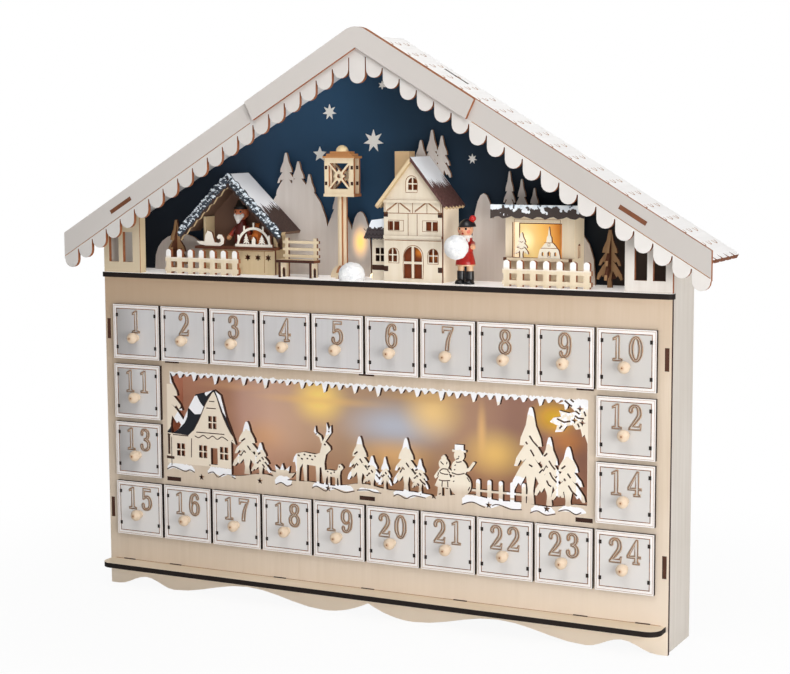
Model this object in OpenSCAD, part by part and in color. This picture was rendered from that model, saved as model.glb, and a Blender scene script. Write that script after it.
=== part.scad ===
// Lit wooden advent calendar: a gabled plywood house with a winter village on its stage
// and twenty-four drawers round a cut-out window below. Millimetres, +Z up, front towards -Y.
// Depths in the names below are counted backwards from the front panel's face.

/* [Plywood] */
// Plywood of the case, roof and drawer fronts
ply = 3; // [2.5:0.1:3.5]
// Plywood of the stage floor and the front ledge
thick_ply = 3.6; // [3:0.1:4.5]
// Plywood of the little stage pieces
thin_ply = 2; // [1.5:0.1:2.4]
// Clearance of loose fits
fit = 0.3; // [0.1:0.05:0.4]

/* [Case] */
// Width of the front panel
panel_w = 436; // [434:1:460]
// Height of the front panel
panel_top = 231; // [226:1:240]
// Depth of the case from the front panel's face to the back panel's
case_d = 50; // [49:0.5:60]
// How far the side panels stand in from the front panel's edges
side_inset = 1.5; // [0.5:0.5:2]
// Height of the two tenons of each side panel
side_tenon_h = 15; // [8:1:20]
// Height of the middle of the upper side tenon
upper_tenon_z = 192.5; // [150:0.5:200]
// Height of the middle of the lower side tenon
lower_tenon_z = 58; // [45:1:90]

/* [Apron and ledge] */
// Width of the flat foot at each end of the apron
foot_w = 7; // [5:1:12]
// Width of the narrow outer wave of the apron
side_wave_w = 49; // [40:1:60]
// Height of the narrow outer wave
side_wave_h = 7; // [4:0.5:9]
// Height of the wide wave
wide_wave_h = 9.5; // [5:0.5:12]
// Half width of the middle cusp
cusp_w = 35; // [25:1:45]
// Height of the middle cusp
cusp_h = 9; // [5:0.5:12]
// Height of the ledge's upper face
ledge_top = 19.2; // [17:0.1:25]
// Reach of the ledge in front of the panel
ledge_reach = 17; // [13:0.5:22]
// Corner radius of the ledge
ledge_round = 9; // [4:0.5:12]
// Length of the ledge's tenons
ledge_tenon_w = 10; // [6:1:16]
// Spacing of the ledge's tenons
ledge_tenon_gap = 66; // [50:1:68]

/* [Drawers] */
// Side of a square drawer front
front_size = 40; // [39:0.5:40.5]
// Gap between neighbouring drawer fronts
front_gap = 2; // [1.5:0.1:2.5]
// Height of the lower edge of drawers 1 to 10
top_row_z = 171.1; // [170:0.1:173]
// Height of the lower edge of drawers 11 and 12
upper_pair_z = 127; // [126:0.1:128.5]
// Height of the lower edge of drawers 13 and 14
lower_pair_z = 83.8; // [83:0.1:85]
// Height of the lower edge of drawers 15 to 24
bottom_row_z = 39.2; // [37:0.1:41]
// Outer width of a drawer box
box_w = 35; // [32:0.5:36]
// Height of a drawer box
box_h = 34; // [28:0.5:35]
// Room behind the drawers for the lead
drawer_room = 4; // [3:0.5:5]
// Wall of a drawer box
box_wall = 2; // [1.5:0.1:3]
// Height of a drawer box above the lower edge of its front
box_lift = 1.7; // [1:0.1:3]
// Clearance round a drawer box in the front panel
box_play = 0.5; // [0.2:0.1:0.8]
// Height of the tenons that show in a drawer front
box_tenon_h = 3; // [2:0.5:5]
// Height of the lower tenon's middle above the front's lower edge
box_tenon_low = 9.2; // [7:0.1:12]
// Height of the upper tenon's middle above the front's lower edge
box_tenon_high = 32; // [25:0.1:33]
// Diameter of the ball of a drawer knob
knob_d = 8; // [6:0.5:10]
// Reach of a knob in front of its drawer
knob_out = 9; // [8:0.5:10.5]
// Diameter of a knob's neck
knob_neck_d = 4.4; // [3:0.1:6]
// Height of a knob above the lower edge of its front
knob_z = 16; // [12:0.5:20]

/* [Window] */
// Margin at each end of the cut-out window, beside the drawers' columns
window_margin = 6; // [5:0.5:18]
// Height of the window's lower edge
window_z = 88; // [87:0.5:92]
// Height of the window's upper edge
window_top = 164.5; // [158:0.5:166]
// Height of the snow drifts along the window's lower edge
drift_h = 6; // [4:0.5:8]
// Length of the longest icicle
icicle_len = 9; // [5:0.5:12]
// Thickness of the translucent picture sheet
sheet_t = 0.8; // [0.5:0.1:1.5]
// Depth of the picture sheet
sheet_depth = 22; // [15:0.5:24]
// Size of a star cut through the drifts
drift_star = 5.2; // [3:0.1:6]

/* [Roof] */
// Height of the fascias' meeting point before it is rounded
peak_z = 408.8; // [404:0.1:420]
// Height of the fascias' upper edge at the eaves
eave_z = 263.2; // [258:0.2:268]
// Half width of the roof
eave_x = 245.9; // [240:0.1:252]
// Rounding of the peak
peak_round = 15; // [8:1:25]
// Depth of the fascias' upper edge above the scallops' valleys
valley_drop = 19; // [16:0.5:24]
// Height from the upper edge to the tip of a scallop
scallop_drop = 29; // [26:0.5:34]
// Height from the upper edge to the tip of the middle drop
centre_drop = 40; // [34:0.5:46]
// Number of scallops on each side
scallops = 19; // [15:1:24]
// Gap between neighbouring scallops
scallop_slit = 0.8; // [0.5:0.1:1.5]
// Reach of the fascias in front of the front panel
fascia_reach = 10.6; // [8:0.1:12]
// Height of the fascias above the roof boards
fascia_lip = 7.6; // [5:0.1:10]
// Reach of the roof boards behind the back panel
roof_rear = 9; // [5:0.5:14]
// Number of lobes along an eave
eave_lobes = 5; // [4:1:8]
// Depth of an eave's lobes
eave_lobe_h = 4; // [2:0.5:5]
// Length of a roof board's tenon in the fascia
roof_tenon_w = 18; // [12:1:24]
// Half width where the outer roof tenon has its middle
outer_tenon_x = 195.5; // [180:0.5:205]
// Half width where the inner roof tenon has its middle
inner_tenon_x = 46; // [35:0.5:60]
// Length of the chevron's arms across the house
chevron_x = 84; // [60:1:110]
// Height of the chevron board
chevron_h = 16.3; // [12:0.1:18]

/* [Stage] */
// Height of the stage floor's upper face
stage_z = 234.6; // [230:0.1:245]
// Reach of the stage floor in front of the front panel
stage_lip = 3; // [2:0.5:6]
// Width of the white window panel at each end of the stage
pane_w = 28.5; // [26:0.5:36]
// Width of a slot in the window panels
pane_slot_w = 8.5; // [6:0.5:10]
// Height of the slots in the window panels
pane_slot_h = 22; // [14:1:24]
// Height of the slots' lower edge above the stage
pane_slot_z = 7.6; // [4:0.2:12]
// Room behind the sky panel
sky_room = 4; // [3:0.5:5]
// Room between the hill panel and the sky panel
hill_room = 3; // [1.5:0.5:3.5]
// Thickness of a star on the sky
star_t = 0.6; // [0.4:0.1:1]

/* [Fences and firs] */
// Length of a picket fence
fence_w = 60.5; // [50:0.5:66]
// Height of a picket fence
fence_h = 17.6; // [12:0.2:20]
// Width of a picket
picket_w = 4.2; // [3:0.1:5]
// Number of pickets in a fence
pickets = 7; // [5:1:9]
// Depth of the fences
fence_depth = 6; // [3:0.5:7]
// Middle of the left fence
left_fence_x = -137; // [-150:1:-135]
// Middle of the right fence
right_fence_x = 130; // [120:1:140]
// Width of a crossed fir
fir_w = 18; // [12:0.5:18]
// Height of a crossed fir
fir_h = 38; // [30:1:50]
// Depth of the crossed firs' middle
fir_depth = 26; // [24:0.5:26.5]
// Middle of the left fir
left_fir_x = -171; // [-178:1:-160]
// Middle of the right fir
right_fir_x = 167; // [160:1:174]

/* [Left stall] */
// Middle of the left stall
stall_x = -114.3; // [-118:0.1:-110]
// Width of the left stall
stall_w = 61; // [54:0.5:62]
// Depth of the left stall's counter front
stall_depth = 20; // [18:0.5:22]
// Height of the left stall's counter above the stage
counter_h = 18; // [14:0.5:22]
// Height of the left stall's ridge above the stage
stall_ridge_h = 72.5; // [64:0.5:78]
// Half width of the left stall's roof
stall_eave_x = 43; // [38:0.5:46]
// Fall of the left stall's roof for each unit of width
stall_pitch = 0.95; // [0.85:0.01:1]
// Width of the garland boards
garland_w = 9; // [6:0.5:11]

/* [Bench and lantern] */
// Middle of the bench
bench_x = -60; // [-63:0.5:-58]
// Length of the bench
bench_w = 31; // [26:0.5:34]
// Depth of the bench's front edge
bench_depth = 7; // [5:0.5:9]
// Height of the bench's seat
bench_seat_h = 12.5; // [9:0.5:15]
// Height of the bench's back
bench_h = 27.5; // [22:0.5:30]
// Middle of the lantern
lantern_x = -29.5; // [-32:0.5:-28]
// Depth of the lantern's middle
lantern_depth = 22; // [18:0.5:26]
// Height of the lantern's platform
lantern_post_h = 57; // [45:1:62]
// Width of the lantern's head
lantern_w = 23; // [18:0.5:25]
// Height of the lantern's head
lantern_h = 24.5; // [18:0.5:27]

/* [Cottage] */
// Middle of the cottage
cottage_x = 31.5; // [30:0.5:33]
// Width of the cottage
cottage_w = 44; // [38:0.5:46]
// Depth of the cottage's front
cottage_depth = 9; // [8:0.5:11]
// Height of the cottage's walls
cottage_wall_h = 55; // [48:0.5:60]
// Fall of the cottage's roof for each unit of width
cottage_pitch = 1.22; // [1.1:0.01:1.3]
// Half width of the cottage's roof
cottage_eave_x = 27; // [25:0.5:29]
// Width of the lean-to's roof
lean_w = 17; // [13:0.5:19]

/* [Right stall] */
// Middle of the right stall
shop_x = 120.5; // [117:0.5:123]
// Width of the right stall
shop_w = 49; // [44:0.5:52]
// Depth of the right stall's front
shop_depth = 18; // [15:0.5:20]
// Height of the right stall
shop_h = 46.5; // [40:0.5:50]
// Width of the right stall's roof
shop_roof_w = 66; // [56:0.5:68]

/* [Figures and snow] */
// Middle of the child figure
child_x = 69; // [67:0.5:71]
// Depth of the child figure
child_depth = 13; // [12.5:0.5:15]
// Height of the child figure to the top of the cap
child_h = 44; // [38:0.5:46]
// Diameter of the snowball that the child carries
ball_d = 17; // [12:0.5:18]
// Middle of the snow heap at the lantern's foot
heap_x = -14; // [-17:0.5:-10]
// Diameter of the snow heap
heap_d = 19; // [14:0.5:20]

/* [Lights] */
// Diameter of a lamp
lamp_d = 5; // [3:0.5:6]
// Length of a lamp
lamp_l = 7; // [5:0.5:8]
// Diameter of the lamps' lead
lead_d = 1.4; // [1:0.1:1.6]
// Diameter of a battery cell
cell_d = 14.5; // [14.2:0.1:14.6]
// Length of a battery cell
cell_l = 50.5; // [49:0.1:51]
// Wall of the battery box
holder_wall = 1.4; // [1.2:0.1:2]
// Middle of the battery box
holder_x = -119; // [-125:1:-110]
// Height of the battery box's middle
holder_z = 118; // [112:1:124]
// Travel of the power switch
switch_travel = 4; // [2:0.5:5]

/* [Hidden] */
$fn = 48;

// Overrun of every cut
over = 0.5;
columns = 10;
drawers = 24;
half_w = panel_w / 2;
front_y = (ledge_reach - case_d - roof_rear) / 2;
back_in = case_d - ply;
side_out = half_w - side_inset;
side_in = side_out - ply;
column_step = front_size + front_gap;
hole_w = box_w + 2 * box_play;
hole_h = box_h + 2 * box_play;
wave_steps = 10;
window_w = (columns - 2) * column_step - 2 * window_margin;
sky_depth = back_in - sky_room - thin_ply;
hill_depth = sky_depth - hill_room - thin_ply;
box_d = back_in - drawer_room;
pitch = (peak_z - eave_z) / eave_x;
wide_wave_w = half_w - foot_w - side_wave_w - cusp_w;
roof_fall = ply * sqrt(1 + pitch * pitch);
roof_top_z = peak_z - fascia_lip;
roof_under_z = roof_top_z - roof_fall;
scallop_step = eave_x / (scallops + 0.5);
stage_h = roof_under_z - stage_z;

ply_color = "BurlyWood";
white_color = "WhiteSmoke";
burnt_color = "SaddleBrown";

function roof_z(x) = roof_top_z - pitch * abs(x);
function under_z(x) = roof_under_z - pitch * abs(x);
function scaled(shares, w, h) = [for (s = shares) [s[0] * w, s[1] * h]];
function flipped(points) = [for (i = [len(points) - 1:-1:0]) [-points[i][0], points[i][1]]];

// A board standing across the house, drawn in X and Z, its face at a depth
module upright(depth, t) {
    translate([0, front_y + depth + t, 0]) rotate([90, 0, 0]) linear_extrude(t) children();
}

// A board standing front to back, drawn in depth and Z, its left face at x
module endways(x, t) {
    translate([x, front_y, 0]) rotate([90, 0, 90]) linear_extrude(t) children();
}

// A board lying flat, drawn in X and depth, its lower face at z
module flat(z, t) {
    translate([0, front_y, z]) linear_extrude(t) children();
}

// A block given by its lowest corner, as X, depth and Z, and its size
module block(corner, size) {
    translate([corner[0], front_y + corner[1], corner[2]]) cube(size);
}

module bar(x, z, w, h) {
    translate([x, z]) square([w, h]);
}

module middle_bar(x, z, w, h) {
    translate([x - w / 2, z]) square([w, h]);
}

// A star of a given outer size, with its points' roots at a share of it
module star(x, z, size, points, root_share) {
    translate([x, z]) polygon([for (i = [0:2 * points - 1])
        let (r = size / 2 * (i % 2 == 0 ? 1 : root_share), a = 90 + 180 * i / points)
        [r * cos(a), r * sin(a)]]);
}

// A window with a round head
module arched(x, z, w, h) {
    middle_bar(x, z, w, h - w / 2);
    translate([x, z + h - w / 2]) circle(d = w);
}

// The right half of a fir's outline as shares of its width and height
fir_half_shares = [[0.1, 0], [0.07, 0.14], [0.12, 0.29], [0.26, 0.18], [0.32, 0.21], [0.42, 0.13],
    [0.5, 0.14], [0.46, 0.23], [0.28, 0.37], [0.11, 0.47], [0.2, 0.43], [0.26, 0.45], [0.34, 0.38],
    [0.43, 0.38], [0.37, 0.47], [0.2, 0.58], [0.09, 0.65], [0.17, 0.6], [0.29, 0.6], [0.26, 0.68],
    [0.13, 0.81], [0.08, 0.93], [0.04, 0.99]];

module fir(x, z, w, h) {
    translate([x, z]) polygon(concat(scaled(fir_half_shares, w, h), [[0, h]],
        flipped(scaled(fir_half_shares, w, h))));
}

// Drawers

function drawer_row(n) = n <= columns ? 0 : n <= columns + 2 ? 1 : n <= columns + 4 ? 2 : 3;
function drawer_column(n) = let (row = drawer_row(n))
    row == 0 ? n - 1 : row == 3 ? n - columns - 5 : (n % 2 == 1 ? 0 : columns - 1);
function drawer_x(n) = (drawer_column(n) - (columns - 1) / 2) * column_step;
function drawer_z(n) = [top_row_z, upper_pair_z, lower_pair_z, bottom_row_z][drawer_row(n)];

module tenons() {
    for (z = [box_tenon_low, box_tenon_high])
        bar(-ply, z - box_tenon_h / 2, ply, box_tenon_h);
}

// One drawer: a front with a box mortised into it, and a turned knob
module drawer(n) {
    x = drawer_x(n);
    z = drawer_z(n);
    inner_w = box_w - 2 * box_wall;
    wall_x = [x - box_w / 2, x + box_w / 2 - box_wall];
    color(white_color) difference() {
        block([x - front_size / 2, -ply, z], [front_size, ply, front_size]);
        for (left = wall_x) translate([0, 0, z]) endways(left, box_wall)
            for (tz = [box_tenon_low, box_tenon_high])
                bar(-ply - over, tz - box_tenon_h / 2, ply + 2 * over, box_tenon_h);
    }
    color(ply_color) {
        for (left = wall_x) translate([0, 0, z]) endways(left, box_wall) {
            bar(0, box_lift, box_d, box_h);
            tenons();
        }
        block([x - inner_w / 2, 0, z + box_lift], [inner_w, box_d - box_wall, box_wall]);
        block([x - inner_w / 2, box_d - box_wall, z + box_lift], [inner_w, box_wall, box_h]);
        knob(x, z + knob_z);
    }
}

// A knob is turned about the line that it is pulled along
module knob(x, z) {
    neck = knob_out - knob_d * 0.93;
    translate([x, front_y - ply, z]) rotate([90, 0, 0]) {
        cylinder(h = knob_out - knob_d / 2, d = knob_neck_d);
        cylinder(h = neck, d1 = knob_neck_d * 1.25, d2 = knob_neck_d);
        translate([0, 0, knob_out - knob_d / 2]) sphere(d = knob_d);
    }
}

// Case

function wave(x0, w, h) = [for (i = [0:wave_steps - 1])
    [x0 + w * i / wave_steps, h * (1 - cos(360 * i / wave_steps)) / 2]];
function cusp() = [for (i = [wave_steps:-1:1]) [-cusp_w * i / wave_steps,
    cusp_h * pow(1 - i / wave_steps, 2)]];

// The apron's lower edge from the left foot to the middle, for a board of a given half width
function apron_half(edge) = concat([[-edge, 0]], wave(-half_w + foot_w, side_wave_w,
    side_wave_h), wave(-half_w + foot_w + side_wave_w, wide_wave_w, wide_wave_h), cusp());
function apron(edge) = concat(apron_half(edge), [[0, cusp_h]], flipped(apron_half(edge)));

module ledge_tenons(reach) {
    for (i = [-3:3]) bar(i * ledge_tenon_gap - ledge_tenon_w / 2, 0, ledge_tenon_w, reach);
}

shelf_tenon_w = 12;
shelf_tenon_x = window_w / 2 - shelf_tenon_w / 6;
top_shelf_z = top_row_z + box_lift - fit - ply;
pair_shelf_z = upper_pair_z + box_lift - fit - ply;
low_shelf_z = lower_pair_z + box_lift - fit - ply;
base_z = bottom_row_z + box_lift - fit - ply;

// Icicle lengths as shares of the longest
icicle_shares = [0.35, 0.5, 0.3, 0.75, 0.4, 0.3, 0.95, 0.45, 0.6, 0.3, 0.85, 0.35, 0.5, 1, 0.4];
icicles = 54;
icicle_band = 2.4;

module icicle_fringe() {
    step = window_w / icicles;
    polygon(concat([[-window_w / 2 - over, window_top + over], [-window_w / 2 - over,
        window_top - icicle_band]],
        [for (i = [0:icicles - 1], k = [0:3]) let (x = -window_w / 2 + step * i,
            tip = icicle_band + icicle_len * icicle_shares[i % len(icicle_shares)] * 0.75)
            [x + step * [0.12, 0.38, 0.62, 0.88][k],
             window_top - (k == 0 || k == 3 ? icicle_band : k == 1 ? tip : tip * 0.9)]],
        [[window_w / 2 + over, window_top - icicle_band], [window_w / 2 + over,
        window_top + over]]));
}

function drift_z(x) = window_z + drift_h * (0.62 + 0.2 * cos(1440 * x / window_w)
    + 0.16 * cos(2900 * x / window_w + 40));
drift_steps = 36;

module drifts() {
    polygon(concat([[window_w / 2 + over, window_z - over], [-window_w / 2 - over,
        window_z - over]], [for (i = [0:drift_steps]) let (x = window_w * (i / drift_steps - 0.5))
        [x + (i == 0 ? -over : i == drift_steps ? over : 0), drift_z(x)]]));
}

// The chalet at the left of the window, as shares of its width and height
chalet_w = 56;
chalet_h = 61;
chalet_shares = [[0.02, 0], [0.02, 0.38], [0, 0.42], [0.14, 0.5], [0.3, 0.78], [0.4, 0.93],
    [0.58, 0.97], [0.68, 1], [0.78, 0.94], [0.86, 0.68], [0.96, 0.46], [1, 0.36], [0.93, 0.4],
    [0.93, 0]];
pane = 3;
pane_bar = 0.9;

module four_panes(x, z) {
    for (i = [0, 1], j = [0, 1])
        bar(x + i * (pane + pane_bar), z + j * (pane * 1.4 + pane_bar), pane, pane * 1.4);
}

module chalet() {
    x0 = -window_w / 2 - over;
    z0 = window_z + drift_h / 2;
    difference() {
        translate([x0, z0]) polygon(scaled(chalet_shares, chalet_w, chalet_h));
        for (s = [[0.1, 0.17], [0.44, 0.17], [0.76, 0.17], [0.59, 0.53]])
            four_panes(x0 + s[0] * chalet_w, z0 + s[1] * chalet_h);
        bar(x0 + 0.62 * chalet_w, z0 + 0.1 * chalet_h, pane * 1.9, 0.2 * chalet_h);
    }
}

// A deer's outline as shares of its length and height, feet on the drift
deer_w = 32;
deer_h = 44;
deer_shares = [[0.1, 0], [0.17, 0], [0.2, 0.22], [0.27, 0.3], [0.31, 0.02], [0.38, 0.02],
    [0.38, 0.29], [0.6, 0.28], [0.62, 0], [0.69, 0], [0.7, 0.26], [0.74, 0.27], [0.78, 0.04],
    [0.85, 0.04], [0.82, 0.34], [0.86, 0.48], [0.98, 0.56], [0.97, 0.61], [0.86, 0.68],
    [0.77, 0.67], [0.71, 0.5], [0.58, 0.47], [0.3, 0.49], [0.12, 0.46], [0.05, 0.39],
    [0.02, 0.31], [0.07, 0.32], [0.1, 0.25]];
antler_shares = [[0.8, 0.66], [0.74, 0.78], [0.62, 0.83], [0.6, 0.93], [0.56, 0.84],
    [0.62, 0.78], [0.7, 0.75], [0.74, 0.66]];
far_antler_shares = [[0.82, 0.66], [0.92, 0.76], [1, 0.84], [0.99, 0.96], [0.94, 0.88],
    [0.88, 1], [0.88, 0.86], [0.84, 0.77], [0.77, 0.67]];

module deer(x, size_share) {
    translate([x, drift_z(x + deer_w / 3) - drift_h / 8]) {
        polygon(scaled(deer_shares, deer_w * size_share, deer_h * size_share));
        if (size_share == 1) {
            polygon(scaled(antler_shares, deer_w, deer_h));
            polygon(scaled(far_antler_shares, deer_w, deer_h));
        }
    }
}

// A fan of leaves, each a blade from one root
bush_w = 17;
bush_h = 12;
module bush(x) {
    translate([x, drift_z(x) - drift_h / 8]) for (a = [-60:30:60]) rotate(a)
        polygon([[-bush_w / 16, 0], [-bush_w / 9, bush_h * 0.6], [0, bush_h],
            [bush_w / 9, bush_h * 0.6], [bush_w / 16, 0]]);
}

snowman_d = 17;
module snowman(x) {
    z = drift_z(x) - drift_h / 8;
    translate([x, z + snowman_d * 0.42]) circle(d = snowman_d * 0.95);
    translate([x - snowman_d * 0.05, z + snowman_d * 1.08]) circle(d = snowman_d * 0.68);
    translate([x - snowman_d * 0.05, z + snowman_d * 1.58]) circle(d = snowman_d * 0.46);
    middle_bar(x - snowman_d * 0.05, z + snowman_d * 1.72, snowman_d * 0.6, snowman_d * 0.09);
    middle_bar(x - snowman_d * 0.05, z + snowman_d * 1.72, snowman_d * 0.38, snowman_d * 0.3);
    translate([x, z]) polygon(scaled([[0.2, 1.08], [0.36, 1.12], [0.56, 1.38], [0.66, 1.36],
        [0.62, 1.28], [0.4, 0.98], [0.22, 0.94]], snowman_d, snowman_d));
}

// A child in a flared coat, with mittens, boots and a bobble cap
little_child_h = 28;
module little_child(x) {
    translate([x, drift_z(x) - drift_h / 8]) {
        polygon(scaled([[-0.16, 0], [-0.02, 0], [-0.02, 0.24], [0.05, 0.24], [0.05, 0],
            [0.2, 0], [0.18, 0.24], [0.3, 0.27], [0.16, 0.6], [0.42, 0.5], [0.44, 0.56],
            [0.14, 0.72], [-0.08, 0.72], [-0.24, 0.5], [-0.2, 0.44], [-0.1, 0.52],
            [-0.22, 0.27], [-0.13, 0.24]], little_child_h, little_child_h));
        translate([little_child_h * 0.03, little_child_h * 0.82]) circle(d = little_child_h * 0.28);
        translate([little_child_h * 0.03, little_child_h]) circle(d = little_child_h * 0.09);
        middle_bar(little_child_h * 0.03, little_child_h * 0.9, little_child_h * 0.14,
            little_child_h * 0.1);
    }
}

paling_w = 3;
paling_h = 14;
paling_gap = 8.3;
module paling(x, count) {
    z = drift_z(x + paling_gap * count / 2) - drift_h / 6;
    for (i = [0:count - 1]) {
        middle_bar(x + paling_gap * (i + 0.5), z - drift_h / 6, paling_w, paling_h);
        translate([x + paling_gap * (i + 0.5), z + paling_h - drift_h / 6]) circle(d = paling_w);
    }
    bar(x - over, z + paling_h * 0.42, paling_gap * count + 2 * over, paling_w / 2);
}

// A fir branch that hangs into the window's upper right corner
bough_w = 27;
bough_h = 33;
bough_shares = [[0, 0.02], [0, 0.97], [-0.1, 0.74], [-0.15, 0.8], [-0.2, 0.64], [-0.32, 0.66],
    [-0.4, 0.57], [-0.56, 0.6], [-0.66, 0.72], [-0.86, 0.74], [-0.8, 0.6], [-1, 0.54],
    [-0.9, 0.45], [-0.7, 0.42], [-0.76, 0.3], [-0.5, 0.34], [-0.34, 0.3], [-0.5, 0.18],
    [-0.78, 0.16], [-0.5, 0.06], [-0.62, 0.02]];

module bough() {
    difference() {
        translate([window_w / 2 + over, window_top + over]) mirror([0, 1])
            polygon(scaled(bough_shares, bough_w, bough_h));
        for (s = [[0.2, 0.22], [0.34, 0.46], [0.14, 0.5]])
            star(window_w / 2 - s[0] * bough_w, window_top - s[1] * bough_h, pane * 1.6, 4, 0.4);
    }
}

// The window's firs: middle, foot, width and height as shares of the window's width and height
window_fir_shares = [[-0.3, 0.06, 0.075, 0.5], [-0.265, 0.05, 0.05, 0.32],
    [-0.018, 0.04, 0.06, 0.47], [0.012, 0.04, 0.045, 0.3], [0.043, 0.04, 0.033, 0.3],
    [0.093, 0.04, 0.062, 0.49], [0.126, 0.04, 0.04, 0.31], [0.377, 0.04, 0.085, 0.85],
    [0.418, 0.04, 0.065, 0.6], [0.459, 0.02, 0.075, 0.55], [-0.507, 0.38, 0.09, 0.62]];
paling_x = 80;
paling_count = 5;
buck_x = -60;
fawn_x = -36;
window_bush_x = -68;
snowman_x = 71;
little_child_x = 58;

module window_scene() {
    window_h = window_top - window_z;
    icicle_fringe();
    drifts();
    chalet();
    for (s = window_fir_shares)
        fir(s[0] * window_w, window_z + s[1] * window_h, s[2] * window_w, s[3] * window_h);
    bush(window_bush_x);
    deer(buck_x, 1);
    deer(fawn_x, 0.55);
    little_child(little_child_x);
    snowman(snowman_x);
    paling(paling_x, paling_count);
    bough();
}

// Stars cut through the drifts, as shares of the window's width, and how far below its edge
drift_star_shares = [-0.42, -0.267, -0.095, 0.158, 0.284, 0.413];
drift_star_low_shares = [-0.2, 0.1, 0, 0.4, -0.1, 0.15];

// The front panel: apron, drawer holes, mortises and the cut-out window
module front_panel() {
    color(ply_color) upright(0, ply) difference() {
        polygon(concat(apron(half_w), [[half_w, panel_top], [-half_w, panel_top]]));
        for (n = [1:drawers]) bar(drawer_x(n) - hole_w / 2, drawer_z(n) + box_lift - box_play,
            hole_w, hole_h);
        difference() {
            middle_bar(0, window_z, window_w, window_top - window_z);
            window_scene();
        }
        for (side = [-1, 1], z = [lower_tenon_z, upper_tenon_z])
            middle_bar(side * (side_out - ply / 2), z - side_tenon_h / 2, ply, side_tenon_h);
        for (x = [-shelf_tenon_x, 0, shelf_tenon_x], z = [low_shelf_z, top_shelf_z])
            middle_bar(x, z, shelf_tenon_w, ply);
        for (i = [-3:3]) middle_bar(i * ledge_tenon_gap, ledge_top - thick_ply, ledge_tenon_w,
            thick_ply);
        for (i = [0:len(drift_star_shares) - 1]) star(drift_star_shares[i] * window_w,
            window_z + drift_star_low_shares[i] * drift_star, drift_star, 5, 0.42);
    }
}

module side_board(side) {
    left = side > 0 ? side_in : -side_out;
    color(white_color) endways(left, ply) {
        bar(ply, 0, case_d - ply, under_z(side_out));
        for (z = [lower_tenon_z, upper_tenon_z]) bar(0, z - side_tenon_h / 2, ply, side_tenon_h);
    }
}

module side_left() { side_board(-1); }
module side_right() { side_board(1); }

// The four corners of a back panel's tenon, from its outer root
function roof_tenon(middle) = let (x0 = middle - roof_tenon_w / 2, x1 = middle + roof_tenon_w / 2)
    [[x1, under_z(x1)], [x1, roof_z(x1)], [x0, roof_z(x0)], [x0, under_z(x0)]];

// The gable's right edge from the side panel to the ridge, with its two tenons
function gable_half() = concat([[side_in, under_z(side_in)]], roof_tenon(outer_tenon_x),
    roof_tenon(inner_tenon_x));

// The back panel closes the case and the stage, and carries the battery box
module back_panel() {
    color(ply_color) upright(back_in, ply) difference() {
        polygon(concat(apron(side_in), gable_half(), [[0, roof_under_z]],
            flipped(gable_half())));
        middle_bar(holder_x, holder_z - holder_h / 2, holder_w, holder_h);
    }
}

module base_board() {
    color(ply_color) flat(base_z, ply) middle_bar(0, ply, 2 * side_in, back_in - ply);
}

jamb_out = (columns - 1) / 2 * column_step - box_w / 2 - ply;
jamb_in = jamb_out - ply;
lead_slot_w = 6;

module drawer_shelves() {
    color(ply_color) {
        for (z = [low_shelf_z, top_shelf_z]) flat(z, ply) difference() {
            union() {
                middle_bar(0, ply, 2 * side_in, back_in - ply);
                for (x = [-shelf_tenon_x, 0, shelf_tenon_x]) middle_bar(x, 0, shelf_tenon_w, ply);
            }
            if (z == top_shelf_z) middle_bar(lead_up_x, back_in - lead_slot_w / 2, lead_slot_w,
                lead_slot_w / 2 + over);
        }
        for (side = [-1, 1]) flat(pair_shelf_z, ply)
            bar(side > 0 ? jamb_out : -side_in, ply, side_in - jamb_out, back_in - ply);
    }
}

// Upright boards between the drawers of the long rows, and a jamb at each end of the window
module drawer_dividers() {
    color(ply_color) {
        for (i = [1:columns - 1], z = [base_z + ply, top_shelf_z + ply])
            block([(i - columns / 2) * column_step - ply / 2, ply, z],
                [ply, back_in - ply - lead_room, box_h + ply]);
        for (x = [-jamb_out, jamb_in])
            block([x, ply, low_shelf_z + ply], [ply, back_in - ply,
                top_shelf_z - low_shelf_z - ply]);
    }
}

module front_ledge() {
    color(ply_color) flat(ledge_top - thick_ply, thick_ply) {
        difference() {
            middle_bar(0, -ledge_reach, panel_w - ply, ledge_reach);
            for (side = [-1, 1]) translate([side * (half_w - ply / 2), -ledge_reach])
                difference() {
                    square(2 * ledge_round, center = true);
                    translate([-side * ledge_round, ledge_round]) circle(r = ledge_round);
                }
        }
        ledge_tenons(ply);
    }
}

module stage_floor() {
    color(white_color) flat(stage_z - thick_ply, thick_ply) difference() {
        union() {
            difference() {
                middle_bar(0, -stage_lip, panel_w + thin_ply, stage_lip + ply);
                for (side = [-1, 1]) translate([side * (half_w + thin_ply / 2), -stage_lip])
                    difference() {
                        square(2 * stage_lip, center = true);
                        translate([-side * stage_lip, stage_lip]) circle(r = stage_lip);
                    }
            }
            middle_bar(0, 0, 2 * side_in, back_in);
        }
        for (p = stage_lamps) translate([p[0], p[1]]) circle(d = lamp_d + fit);
    }
}

module picture_sheet() {
    color("Tan") upright(sheet_depth, sheet_t)
        middle_bar(0, low_shelf_z + ply, 2 * jamb_in, top_shelf_z - low_shelf_z - ply);
}

// Lamps and power

// Window lamps as shares of the window's width, and heights as shares of its height
window_lamp_shares = [[-0.12, 0.8], [0.17, 0.82], [0.455, 0.8], [0.34, 0.36], [0.03, 0.3]];
window_lamps = [for (s = window_lamp_shares)
    [s[0] * window_w, window_z + s[1] * (window_top - window_z)]];
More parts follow.
